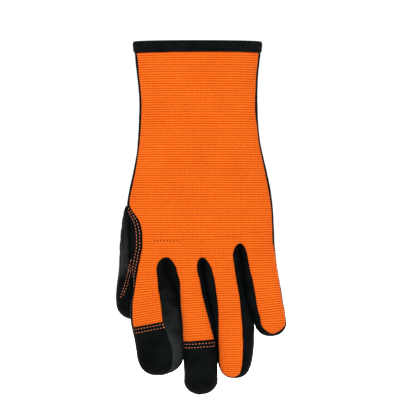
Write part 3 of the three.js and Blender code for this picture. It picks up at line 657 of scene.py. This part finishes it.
tree = BVHTree.FromPolygons([Vector(p) for p in points], [tuple(int(n) for n in f) for f in faces])


def fromFront(route):
    # points of the surface met when looking along +Y at places given by x and drop
    found, ways = [], []
    for x, drop in route:
        spot, way, _, _ = tree.ray_cast(Vector((x, -60, -drop)), Vector((0, 1, 0)))
        if spot is not None:
            found.append(spot[:])
            ways.append(way[:])
    return np.array(found), np.array(ways)


def taut(line, rounds=30):
    # evens out a row of thread over the surface, with its ends held
    line = line.copy()
    for _ in range(rounds):
        line[1:-1] = 0.5 * line[1:-1] + 0.25 * (line[:-2] + line[2:])
    found = [tree.find_nearest(Vector(p)) for p in line]
    index = np.array([hit[2] for hit in found])
    return np.array([hit[0][:] for hit in found]), unit(normals[faces[index]].mean(axis=1))


def routed(knots, count):
    knots = np.array(knots, float)
    length = measured(knots)
    at = np.linspace(0, length[-1], count)
    return list(zip(cubic(length, knots[:, 0], at), cubic(length, knots[:, 1], at)))


stitching = {
    "saddle": (1.7, 3.9),  # distances from the knit's edge
    "caps": {0: (1.7, 4.1), 1: (1.9, 4.3)},  # distances below the cap's edge, by finger
    "thumb": [  # routes as x and drop
        [(-44.2, 148.2), (-45.4, 152.5), (-47.3, 160), (-48.9, 165.7), (-50.1, 169), (-52.2, 174.5)],
        [(-44.0, 152.4), (-44.7, 156.6), (-46.0, 161.5), (-47.5, 166.7), (-50.1, 172.9)]],
    # knuckles and holes: rows of dark dots of painted shade for the holes over the knuckles
    "knuckles": [[(-28.2, 135.1), (-13, 135)]],
    "holes": [
        [(-10.6, 134.8), (-8.4, 134.7)], [(-4.6, 134.3), (-2.4, 134.3)],
        [(2.7, 135), (8.2, 134.4), (19.7, 133.8), (30.6, 132.4)],
        [(13.6, 132.4), (25.8, 131.7)], [(35.4, 130), (49, 129.3)]]}
saddleMargin = 0.9
saddleRows = slice(topRow + 6, int(np.argmin(np.abs(indexDrops - joinEnd))) - 4, 2)


def capRows(i):
    rows = [acrossCap(i, distance) for distance in stitching["caps"][i]]
    (lineA, wayA), (lineB, wayB) = rows
    t = np.linspace(0.1, 0.9, 5)[:, None]  # a short stitch closes the two rows
    return [*rows, (lerp(lineA[-1], lineB[-1], t), lerp(wayA[-1], wayB[-1], t))]


rowLines = {
    "saddle": [alongSaddle(distance) for distance in stitching["saddle"]],
    "caps": capRows(0) + capRows(1),
    "thumb": [taut(fromFront(routed(knots, 40))[0]) for knots in stitching["thumb"]],
    "knuckles": [fromFront(routed(knots, 30)) for knots in stitching["knuckles"]],
    "holes": [fromFront(routed(knots, 30)) for knots in stitching["holes"]]}
grooves = np.concatenate([line for name in ("saddle", "caps", "thumb") for line, _ in rowLines[name]])


def treeOf(cloud):
    tree = KDTree(len(cloud))
    for k, p in enumerate(cloud):
        tree.insert(p, k)
    tree.balance()
    return tree


def distances(tree, cloud):
    return np.array([tree.find(p)[2] for p in cloud])


def meshObject(name, cloud, triangles):
    # a mesh in metres from points in millimetres
    mesh = bpy.data.meshes.new(name)
    mesh.vertices.add(len(cloud))
    mesh.vertices.foreach_set("co", (np.asarray(cloud) * mm).astype(np.float32).ravel())
    mesh.loops.add(len(triangles) * 3)
    mesh.loops.foreach_set("vertex_index", np.asarray(triangles, np.int32).ravel())
    mesh.polygons.add(len(triangles))
    mesh.polygons.foreach_set("loop_start", np.arange(0, len(triangles) * 3, 3, dtype=np.int32))
    mesh.polygons.foreach_set("use_smooth", np.ones(len(triangles), bool))
    mesh.update(calc_edges=True)
    thing = bpy.data.objects.new(name, mesh)
    bpy.context.collection.objects.link(thing)
    return thing


def store(thing, name, values):
    # one number or one direction for each point
    values = np.asarray(values, np.float32)
    kind, key = ("FLOAT", "value") if values.ndim == 1 else ("FLOAT_VECTOR", "vector")
    thing.data.attributes.new(name, kind, "POINT").data.foreach_set(key, values.ravel())


def finishPiece(thing, material, slot, *nodes):
    thing.data.materials.clear()
    thing.data.materials.append(material)
    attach(thing, "root")
    if nodes:
        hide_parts(*nodes)


grooveTree = treeOf(grooves)


def clothPiece(name, chosen, lift=0.0, fall=0.6, roll=1.3, thickness=1.3, gap=0.1,
               wrinkle=None, sewn=True, flush=None):
    # a piece of cloth or leather: outer and inner skin, with edges that fall into the seams over the width of roll
    used, local = np.unique(chosen, return_inverse=True)
    local = local.reshape(-1, 3)
    p, n = points[used], normals[used]
    count = len(used)
    edges = np.concatenate([local[:, [k, (k + 1) % 3]] for k in range(3)])
    owner = np.tile(np.arange(len(local)), 3)
    code = edges[:, 0].astype(np.int64) * count + edges[:, 1]
    lone = ~np.isin(code, edges[:, 1].astype(np.int64) * count + edges[:, 0])
    borders = edges[lone]
    a, b = p[borders[:, 0]], p[borders[:, 1]]
    face = p[local[owner[lone]]]
    edgeNormal = unit(np.cross(face[:, 1] - face[:, 0], face[:, 2] - face[:, 0]))
    pull = unit(np.cross(edgeNormal, b - a))
    pulls = np.zeros_like(p)
    for k in range(2):
        np.add.at(pulls, borders[:, k], pull)
    pulls = unit(pulls) * (np.linalg.norm(pulls, axis=1, keepdims=True) > 1e-9)
    border = treeOf(np.concatenate([lerp(a, b, t) for t in (0, 0.25, 0.5, 0.75)]))
    far = distances(border, p)
    if flush is not None:
        keep = flush(p)
        lift, fall = lift * keep, fall * keep
    t = np.clip(far / roll, 0, 1)
    offset = lift - fall * (1 - np.sqrt(1 - (1 - t) ** 2))
    if wrinkle is not None:
        offset = offset + wrinkle(p, far)
    if sewn:
        offset = offset - grooveDepth * np.exp(-(distances(grooveTree, p) / grooveWidth) ** 2)
    outer = p + n * offset[:, None] + pulls * gap
    inner = p + n * (offset - thickness * (0.5 + 0.5 * t))[:, None] + pulls * gap
    triangles = [local, local[:, ::-1] + count,
                 np.stack([borders[:, 1], borders[:, 0], borders[:, 0] + count], axis=1),
                 np.stack([borders[:, 1], borders[:, 0] + count, borders[:, 1] + count], axis=1)]
    thing = meshObject(name, np.concatenate([outer, inner]), np.concatenate(triangles))
    store(thing, "outward", np.tile(n, (2, 1)))
    store(thing, "rib", np.tile(phases[used], 2))
    store(thing, "edge", np.tile(far, 2))
    return thing, SimpleNamespace(points=outer, normals=n, pulls=pulls, borders=borders)


# Materials
def addNode(tree, kind, inputs=None, **settings):
    # a node with its settings, each input a value or another node's output
    node = tree.nodes.new(kind)
    for key, value in settings.items():
        setattr(node, key, value)
    for key, value in (inputs or {}).items():
        if isinstance(value, bpy.types.NodeSocket):
            tree.links.new(value, node.inputs[key])
        else:
            node.inputs[key].default_value = value
    return node


def maths(tree, operation, a, b=None):
    inputs = {0: a} if b is None else {0: a, 1: b}
    return addNode(tree, "ShaderNodeMath", inputs, operation=operation).outputs[0]


def newMaterial(name, colour, roughness, sheen=0.0, sheenRoughness=0.5, specular=0.5):
    material = bpy.data.materials.new(name)
    material.use_nodes = True
    shader = material.node_tree.nodes["Principled BSDF"]
    values = {"Base Color": (*colour, 1), "Roughness": roughness, "Sheen Weight": sheen,
              "Sheen Roughness": sheenRoughness, "Specular IOR Level": specular}
    for key, value in values.items():
        shader.inputs[key].default_value = value
    return material, material.node_tree, shader


def objectAxis(tree, axis):
    where = addNode(tree, "ShaderNodeTexCoord").outputs["Object"]
    return addNode(tree, "ShaderNodeSeparateXYZ", {"Vector": where}).outputs[axis]


def colours(tree, mask, dark, light, low=0.0, high=1.0):
    # from dark to light as the mask goes from low to high
    node = addNode(tree, "ShaderNodeValToRGB", {"Fac": mask})
    for stop, place, colour in zip(node.color_ramp.elements, (low, high), (dark, light)):
        stop.position, stop.color = place, (*colour, 1)
    return node.outputs["Color"]


def coat(tree, shader, colour, height, strength, depth):
    # joins a colour and a bump to the shader
    bump = addNode(tree, "ShaderNodeBump", {"Strength": strength, "Distance": depth, "Height": height})
    tree.links.new(colour, shader.inputs["Base Color"])
    tree.links.new(bump.outputs["Normal"], shader.inputs["Normal"])


def grainGroup():
    # fine grain: a mask for colour and a height for the bump, from Object coordinates
    group = bpy.data.node_groups.new("grain", "ShaderNodeTree")
    face = group.interface
    for name, value in (("Fine", 900.0), ("Broad", 60.0), ("Roughen", 0.5)):
        face.new_socket(name, in_out="INPUT", socket_type="NodeSocketFloat").default_value = value
    for name in ("Mask", "Height"):
        face.new_socket(name, in_out="OUTPUT", socket_type="NodeSocketFloat")
    ins = group.nodes.new("NodeGroupInput").outputs
    where = addNode(group, "ShaderNodeTexCoord").outputs["Object"]
    fine, broad = (
        addNode(group, "ShaderNodeTexNoise", {"Vector": where, "Scale": ins[size], "Detail": 3.0, "Roughness": rough})
        for size, rough in (("Fine", 0.6), ("Broad", 0.55)))
    pebbles = addNode(group, "ShaderNodeTexVoronoi", {"Vector": where, "Scale": ins["Fine"]},
                      feature="DISTANCE_TO_EDGE")
    mix = addNode(group, "ShaderNodeMix", {0: ins["Roughen"], 2: fine.outputs["Fac"], 3: pebbles.outputs["Distance"]},
                  data_type="FLOAT")
    addNode(group, "NodeGroupOutput", {"Mask": broad.outputs["Fac"], "Height": mix.outputs[0]})
    return group


grain = grainGroup()


def leather(name, dark, light, roughness, fine, bump, sheen, paintedLightHeights=None):
    # the last argument gives two heights in metres for painted light: the leather is painted darkest, as in shade,
    # above the first and lightest, as where light falls, below the second
    material, tree, shader = newMaterial(name, dark, roughness, sheen, 0.35, 0.014)
    node = addNode(tree, "ShaderNodeGroup", node_tree=grain)
    node.inputs["Fine"].default_value, node.inputs["Broad"].default_value = fine, 70.0
    mask = node.outputs["Mask"]
    # painted light: the mask gets darker towards the top of the piece and lighter towards the bottom
    if paintedLightHeights:
        down = addNode(tree, "ShaderNodeMapRange", {
            "Value": objectAxis(tree, "Z"), "From Min": paintedLightHeights[0], "From Max": paintedLightHeights[1], "To Min": -0.3, "To Max": 0.3})
        mask = maths(tree, "ADD", mask, down.outputs["Result"])
    coat(tree, shader, colours(tree, mask, dark, light, 0.3, 0.72), node.outputs["Height"], bump, 0.0002)
    return material


def thread(name, colour, sheen, specular):
    material, tree, shader = newMaterial(name, colour, 0.55, sheen, 0.4, specular)
    node = addNode(tree, "ShaderNodeGroup", node_tree=grain)
    node.inputs["Fine"].default_value = 4000.0
    shade = colours(tree, node.outputs["Mask"], [0.7 * v for v in colour], colour)
    coat(tree, shader, shade, node.outputs["Height"], 0.5, 0.0001)
    return material


# the groove colour is painted shade: the knit's orange made darker where the grooves between the ribs lie; the crest
# colour is the knit's own orange
knit = {
    "grooveShade": (0.27, 0.02, 0.0004), "crest": (0.57, 0.103, 0.006), "roughness": 0.85, "sheen": 0.03, "specular": 0.05,
    "yarn": 0.0017, "mottle": 900.0, "broad": 45.0}  # yarn: metres from one fine yarn to the next


def ribWave(tree, rib):
    # 0 in the grooves and 1 on the crests
    return maths(tree, "ABSOLUTE", maths(tree, "SINE", maths(tree, "MULTIPLY", rib, math.pi)))


def knitMaterial():
    # ribbed knit: the knit's orange on the rounded ribs, painted shade, a deeper colour, in the grooves between them,
    # and fine yarns across them
    material, tree, shader = newMaterial(
        "knit", knit["crest"], knit["roughness"], knit["sheen"], 0.4, knit["specular"])
    rib = addNode(tree, "ShaderNodeAttribute", attribute_name="rib")
    where = addNode(tree, "ShaderNodeTexCoord").outputs["Object"]

    def patches(size):
        return addNode(tree, "ShaderNodeTexNoise", {"Vector": where, "Scale": size, "Detail": 2.0}).outputs["Fac"]

    def centred(value, amount):
        return maths(tree, "MULTIPLY", maths(tree, "SUBTRACT", value, 0.5), amount)

    # the rib wave sets the painted shade: dark in the grooves, the knit's own orange on the crests
    crest = maths(tree, "POWER", ribWave(tree, rib.outputs["Fac"]), 1.1)
    yarn = maths(tree, "SINE", maths(tree, "MULTIPLY", objectAxis(tree, "X"), 2 * math.pi / knit["yarn"]))
    yarn = maths(tree, "MULTIPLY", maths(tree, "ADD", yarn, 1.0), 0.5)
    mottle = patches(knit["mottle"])
    light = maths(tree, "ADD", maths(tree, "MULTIPLY", crest, 0.85), maths(tree, "MULTIPLY", yarn, 0.16))
    light = maths(tree, "ADD", light, centred(mottle, 0.5))
    light = maths(tree, "ADD", light, centred(patches(knit["broad"]), 0.25))
    height = maths(tree, "ADD", maths(tree, "MULTIPLY", yarn, 0.5), maths(tree, "MULTIPLY", mottle, 0.8))
    coat(tree, shader, colours(tree, light, knit["grooveShade"], knit["crest"], 0.05, 0.95), height, 0.5, 0.0002)
    return material


leathers = [
    {"name": "leather", "dark": (0.001, 0.0014, 0.0014), "light": (0.003, 0.0038, 0.004),
     "roughness": 0.55, "fine": 1400.0, "bump": 0.35, "sheen": 0.004},
    # a lighter copy of the leather with painted light, for the index's side strip that faces the light, lighter still
    # towards its bottom
    {"name": "side_leather", "dark": (0.0016, 0.002, 0.002), "light": (0.014, 0.0165, 0.016),
     "roughness": 0.6, "fine": 1500.0, "bump": 0.35, "sheen": 0.012, "paintedLightHeights": (-0.165, -0.212)},
    {"name": "patch_leather", "dark": (0.002, 0.0026, 0.0028), "light": (0.005, 0.006, 0.0064),
     "roughness": 0.5, "fine": 1100.0, "bump": 0.5, "sheen": 0.01},
    {"name": "binding", "dark": (0.0014, 0.0018, 0.002), "light": (0.004, 0.005, 0.0054),
     "roughness": 0.7, "fine": 2200.0, "bump": 0.5, "sheen": 0.012}]
looks = {"knit": knitMaterial(), **{values["name"]: leather(**values) for values in leathers}}
looks["thread"] = thread("thread", (0.72, 0.2, 0.07), 0.2, 0.4)
# dark dots of painted shade for the holes over the knuckles, laid like thread
looks["holeShade"] = thread("painted_hole_shade", (0.2, 0.022, 0.001), 0.0, 0.05)
print("materials", len(looks))


# Geometry Nodes
def nodeTree(name, sockets):
    tree = bpy.data.node_groups.new(name, "GeometryNodeTree")
    for label, value in {"Geometry": None, **sockets, "Material": None}.items():
        kind = "NodeSocketFloat" if value is not None else "NodeSocket" + label
        socket = tree.interface.new_socket(label, in_out="INPUT", socket_type=kind)
        if value is not None:
            socket.default_value = value
    tree.interface.new_socket("Geometry", in_out="OUTPUT", socket_type="NodeSocketGeometry")
    return tree, tree.nodes.new("NodeGroupInput").outputs


def stored(tree, name, kind):
    return addNode(tree, "GeometryNodeInputNamedAttribute", {"Name": name}, data_type=kind).outputs["Attribute"]


def finishTree(tree, geometry, material):
    real = addNode(tree, "GeometryNodeRealizeInstances", {"Geometry": geometry}).outputs["Geometry"]
    paint = addNode(tree, "GeometryNodeSetMaterial", {"Geometry": real, "Material": material})
    addNode(tree, "NodeGroupOutput", {"Geometry": paint.outputs["Geometry"]})
    return tree


def ribTree():
    # pushes the knit in and out along its stored direction, one wave to a rib, less near its edges
    tree, ins = nodeTree("ribs", {"Height": 0.0002})
    wave = maths(tree, "POWER", ribWave(tree, stored(tree, "rib", "FLOAT")), 0.7)
    fade = addNode(tree, "ShaderNodeMapRange", {
        "Value": stored(tree, "edge", "FLOAT"), "From Min": 0.0, "From Max": 1.5, "To Min": 0.35, "To Max": 1.0})
    share = maths(tree, "MULTIPLY", maths(tree, "SUBTRACT", wave, 0.6), fade.outputs["Result"])
    push = addNode(tree, "ShaderNodeVectorMath", {
        "Vector": stored(tree, "outward", "FLOAT_VECTOR"), "Scale": maths(tree, "MULTIPLY", share, ins["Height"])},
        operation="SCALE")
    move = addNode(tree, "GeometryNodeSetPosition", {"Geometry": ins["Geometry"], "Offset": push.outputs["Vector"]})
    return finishTree(tree, move.outputs["Geometry"], ins["Material"])


def stitchTree():
    # lays short thread bars along the edges of a mesh, turned to its stored outward direction
    tree, ins = nodeTree("stitches", {"Pitch": 0.002, "Length": 0.0016, "Width": 0.0005})
    curve = addNode(tree, "GeometryNodeMeshToCurve", {"Mesh": ins["Geometry"]})
    places = addNode(tree, "GeometryNodeResampleCurve", {"Curve": curve.outputs["Curve"], "Length": ins["Pitch"]},
                     mode="LENGTH")
    bar = addNode(tree, "GeometryNodeMeshUVSphere", {"Segments": 8, "Rings": 6, "Radius": 0.5})
    size = addNode(tree, "ShaderNodeCombineXYZ", {"X": ins["Length"], "Y": ins["Width"], "Z": ins["Width"]})
    tangent = addNode(tree, "GeometryNodeInputTangent").outputs["Tangent"]
    turn = addNode(tree, "FunctionNodeAxesToRotation", {
        "Primary Axis": stored(tree, "outward", "FLOAT_VECTOR"), "Secondary Axis": tangent},
        primary_axis="Z", secondary_axis="X")
    bars = addNode(tree, "GeometryNodeInstanceOnPoints", {
        "Points": places.outputs["Curve"], "Instance": bar.outputs["Mesh"],
        "Rotation": turn.outputs["Rotation"], "Scale": size.outputs["Vector"]})
    return finishTree(tree, bars.outputs["Instances"], ins["Material"])


def throughNodes(thing, tree, values):
    # runs a node tree on a mesh with its named inputs set, and keeps the plain result
    modifier = thing.modifiers.new(tree.name, "NODES")
    modifier.node_group = tree
    for socket in tree.interface.items_tree:
        if socket.in_out == "INPUT" and socket.name in values:
            modifier[socket.identifier] = values[socket.name]
    thing.update_tag()
    shown = thing.evaluated_get(bpy.context.evaluated_depsgraph_get())
    mesh = bpy.data.meshes.new_from_object(shown)
    thing.modifiers.remove(modifier)
    old, thing.data = thing.data, mesh
    bpy.data.meshes.remove(old)
    mesh.polygons.foreach_set("use_smooth", np.ones(len(mesh.polygons), bool))


ribs, stitches = ribTree(), stitchTree()


# Wrinkles: how far each kind of cloth stands out or in, in millimetres
def knitFolds(p, far):
    return 0.35 * noise(p, 26, 1) + 0.12 * noise(p, 9, 2)


def leatherFolds(p, far):
    near = np.exp(-far / 3)
    pucker = noise(p * [1, 1, 1.6], 3.4, 3) * near * 0.22
    return 0.4 * noise(p, 18, 4) + 0.14 * noise(p, 6, 5) + pucker


def sideFolds(p, far):
    depth = np.minimum(far / 2.5, 1)
    long = noise(p * [1, 1, 0.35], 4.5, 6)
    return depth * (0.3 * np.abs(long) + 0.3 * noise(p, 7, 7) + 0.15) + 0.08 * noise(p, 2.5, 8)


def thumbFolds(p, far):
    crease = 1 - np.abs(noise(p * [1.2, 1, 1], 9, 9))
    return 0.45 * noise(p, 16, 10) - 0.35 * np.maximum(0, crease - 0.75) * 4 + 0.12 * noise(p, 5, 11)


def patchFolds(p, far):
    return 0.4 * noise(p, 18, 4) + 0.1 * noise(p, 6, 5)


def levelWithin(drop, level, start, near, past, end):
    # 1 around a level, 0 more than start above it and end below it
    return smooth(drop, level - start, level - near) * (1 - smooth(drop, level + past, level + end))


def saddleEnd(p):
    # 0 where the saddle runs on into the index's side without a seam, 1 elsewhere
    near = (p[:, 0] < -30) & (p[:, 1] < 4)
    return np.where(near, 1 - levelWithin(-p[:, 2], joinEnd, 8, 1, 1, 6), 1)


def sideEnd(p):
    # 0 where a finger's side strip or the saddle runs on without a step, 1 elsewhere
    keep = saddleEnd(p)
    for i in range(len(fingers)):
        level = sideEndOf(i)
        section = fingerSection(i, level)
        inside = np.abs(p[:, 0] - section.centre) < section.full + 1.5
        keep = np.where(inside, keep * (1 - levelWithin(-p[:, 2], level, 9, 2, 2, 9)), keep)
    return keep


# Sizes in millimetres: lift above the surface, fall and width of the roll at the edges, thickness, gap at the seams
pieces = [
    {"name": "back_panel", "look": "knit", "wrinkle": knitFolds, "fall": 0.5, "roll": 1.2, "sewn": False},
    {"name": "index_tip_cap", "look": "leather", "wrinkle": leatherFolds, "lift": 0.35, "fall": 0.6, "roll": 0.9},
    {"name": "middle_tip_cap", "look": "leather", "wrinkle": leatherFolds, "lift": 0.35, "fall": 0.6, "roll": 0.9},
    # the index's side strip is painted lighter, as if lit, with its own copy of the leather
    {"name": "fourchette_index_middle", "look": "side_leather", "wrinkle": sideFolds, "lift": 0.35, "flush": sideEnd},
    {"name": "fourchette_middle_ring", "look": "leather", "wrinkle": sideFolds, "lift": 0.35, "flush": sideEnd},
    {"name": "fourchette_ring_little", "look": "leather", "wrinkle": sideFolds, "lift": 0.35, "flush": sideEnd},
    {"name": "palm_panel", "look": "leather", "wrinkle": leatherFolds, "flush": sideEnd},
    {"name": "thumb_saddle", "look": "leather", "wrinkle": leatherFolds, "lift": 0.4, "fall": 0.7, "roll": 1.0,
     "flush": saddleEnd},
    {"name": "thumb_sleeve", "look": "leather", "wrinkle": thumbFolds},
    {"name": "cuff_binding", "look": "binding", "lift": 0.7, "fall": 0.8, "roll": 1.8, "thickness": 2.2, "gap": -0.6},
    {"name": "palm_reinforcement", "look": "patch_leather", "wrinkle": patchFolds, "lift": 1.25, "fall": 0.8,
     "roll": 1.2, "thickness": 1.0, "gap": 0.3, "sewn": False}]
made, skins = {}, {}
for piece in pieces:
    name, look = piece["name"], piece["look"]
    options = {key: value for key, value in piece.items() if key not in ("name", "look")}
    chosen = owners == pieceId[name] if name in pieceId else covers
    made[name], skins[name] = clothPiece(name + "_cloth", faces[chosen], **options)
    if look == "knit":
        throughNodes(made[name], ribs, {"Height": ribHeight * mm, "Material": looks["knit"]})
    finishPiece(made[name], looks[look], look, name)
    print(name, len(made[name].data.polygons), "triangles")


# Thread, and dark dots of painted shade for the knuckle holes: each row is laid on the finished cloth and turned into
# short bars
def skinTree(names):
    clouds, tris, start = [], [], 0
    for name in names:
        mesh = made[name].data
        co = np.empty(len(mesh.vertices) * 3, np.float32)
        mesh.vertices.foreach_get("co", co)
        index = np.empty(len(mesh.loops), np.int32)
        mesh.loops.foreach_get("vertex_index", index)
        clouds.append(co.reshape(-1, 3) / mm)
        tris.append(index.reshape(-1, 3) + start)
        start += len(clouds[-1])
    return BVHTree.FromPolygons(np.concatenate(clouds).tolist(), np.concatenate(tris).tolist())


def sew(name, lines, onto, look="thread", slot="knit", sink=0.05, width=0.36, length=1.45, pitch=stitchPitch):
    tree = skinTree(onto)
    cloud, ways, edges = [], [], []
    for line, way in lines:
        first = len(cloud)
        for p, n in zip(line, way):
            spot, _, _, _ = tree.ray_cast(Vector(p + 4 * n), Vector(-n), 6)
            if spot is None:
                spot = tree.find_nearest(Vector(p))[0]
            cloud.append(np.array(spot) - n * sink)
            ways.append(n)
        edges += [(k, k + 1) for k in range(first, len(cloud) - 1)]
    mesh = bpy.data.meshes.new(name)
    mesh.from_pydata([tuple(p * mm) for p in cloud], edges, [])
    thing = bpy.data.objects.new(name, mesh)
    bpy.context.collection.objects.link(thing)
    store(thing, "outward", ways)
    sizes = {"Pitch": pitch * mm, "Length": length * mm, "Width": width * mm}
    throughNodes(thing, stitches, {**sizes, "Material": looks[look]})
    finishPiece(thing, looks[look], slot)
    print(name, len(thing.data.polygons), "faces")


def borderLoops(skin, distance):
    # lines at a distance inside each border of a piece
    after = {int(a): int(b) for a, b in skin.borders}
    lines = []
    while after:
        first = next(iter(after))
        loop, at = [first], after.pop(first)
        while at != first and at in after:
            loop.append(at)
            at = after.pop(at)
        loop.append(first)
        lines.append((skin.points[loop] + skin.pulls[loop] * distance, skin.normals[loop]))
    return lines


def ringAt(drop):
    # one row of the surface round the whole cuff
    row = int(np.argmin(np.abs(np.array(handDrops) - drop)))
    names = [finger["name"] for finger in fingers]
    around = ["indexLeft", *[name + "Front" for name in names],
              "littleRight", *[name + "Palm" for name in names[::-1]]]
    index = np.concatenate([grids[name]["index"][row][:-1] for name in around])
    index = np.append(index, index[0])
    return points[index], normals[index]


patchSkin = skins["palm_reinforcement"]
threads = [
    {"name": "saddle_stitches", "lines": rowLines["saddle"], "onto": ["thumb_saddle", "thumb_sleeve"]},
    {"name": "cap_stitches", "lines": rowLines["caps"], "onto": ["index_tip_cap", "middle_tip_cap"]},
    {"name": "thumb_stitches", "lines": rowLines["thumb"], "onto": ["thumb_sleeve", "thumb_saddle", "palm_panel"]},
    # the knuckle rows are dark dots of painted shade where the holes over the knuckles are
    {"name": "knuckle_hole_row", "lines": rowLines["knuckles"], "onto": ["back_panel"], "look": "holeShade",
     "sink": 0.0, "width": 0.75, "length": 1.0},
    {"name": "knuckle_holes", "lines": rowLines["holes"], "onto": ["back_panel"], "look": "holeShade",
     "width": 0.55, "length": 0.7, "pitch": 2.0},
    {"name": "cuff_stitches", "lines": [ringAt(5.6)], "onto": ["cuff_binding"], "look": "binding", "slot": "binding"},
    {"name": "patch_stitches", "lines": borderLoops(patchSkin, 2.0) + borderLoops(patchSkin, 4.4),
     "onto": ["palm_reinforcement"]}]
for row in threads:
    sew(**row)


# Floor, light and camera
studio = {
    "middle": (0.003, 0, -0.12), "floor": -0.262, "world": 1.1,
    "lamps": {  # place, size and power
        "key": ((-0.7, -1.1, 0.75), 0.9, 16), "fill": ((1.1, -0.9, 0.1), 1.0, 6), "back": ((0.3, 1.1, 0.7), 1.0, 28)},
    "camera": (0.0027, -1.5, -0.1076), "lens": 197.5, "sensor": 36}


def lightStudio():
    for name, (spot, size, power) in studio["lamps"].items():
        light = bpy.data.lights.new(name, "AREA")
        light.shape, light.size, light.energy = "DISK", size, power
        lamp = bpy.data.objects.new(name, light)
        lamp.location = spot
        lamp.rotation_euler = (Vector(studio["middle"]) - Vector(spot)).to_track_quat("-Z", "Y").to_euler()
        bpy.context.collection.objects.link(lamp)
    world = bpy.data.worlds.new("studio")
    world.use_nodes = True
    background = world.node_tree.nodes["Background"]
    background.inputs["Color"].default_value = (1, 1, 1, 1)
    background.inputs["Strength"].default_value = studio["world"]
    bpy.context.scene.world = world
    bpy.context.scene.view_settings.view_transform = "Standard"


def layFloor():
    bpy.ops.mesh.primitive_plane_add(size=16, location=(0, 0, studio["floor"]))
    floor = bpy.context.object
    floor.name = "floor"
    floor.data.materials.append(newMaterial("floor", (0.97, 0.97, 0.97), 0.9)[0])


def aimCamera():
    camera = bpy.data.cameras.new("camera")
    camera.lens, camera.sensor_width = studio["lens"], studio["sensor"]
    viewer = bpy.data.objects.new("camera", camera)
    viewer.location = studio["camera"]
    viewer.rotation_euler = (math.pi / 2, 0, 0)
    bpy.context.collection.objects.link(viewer)
    bpy.context.scene.camera = viewer


lightStudio()
layFloor()
aimCamera()
print("studio ready")
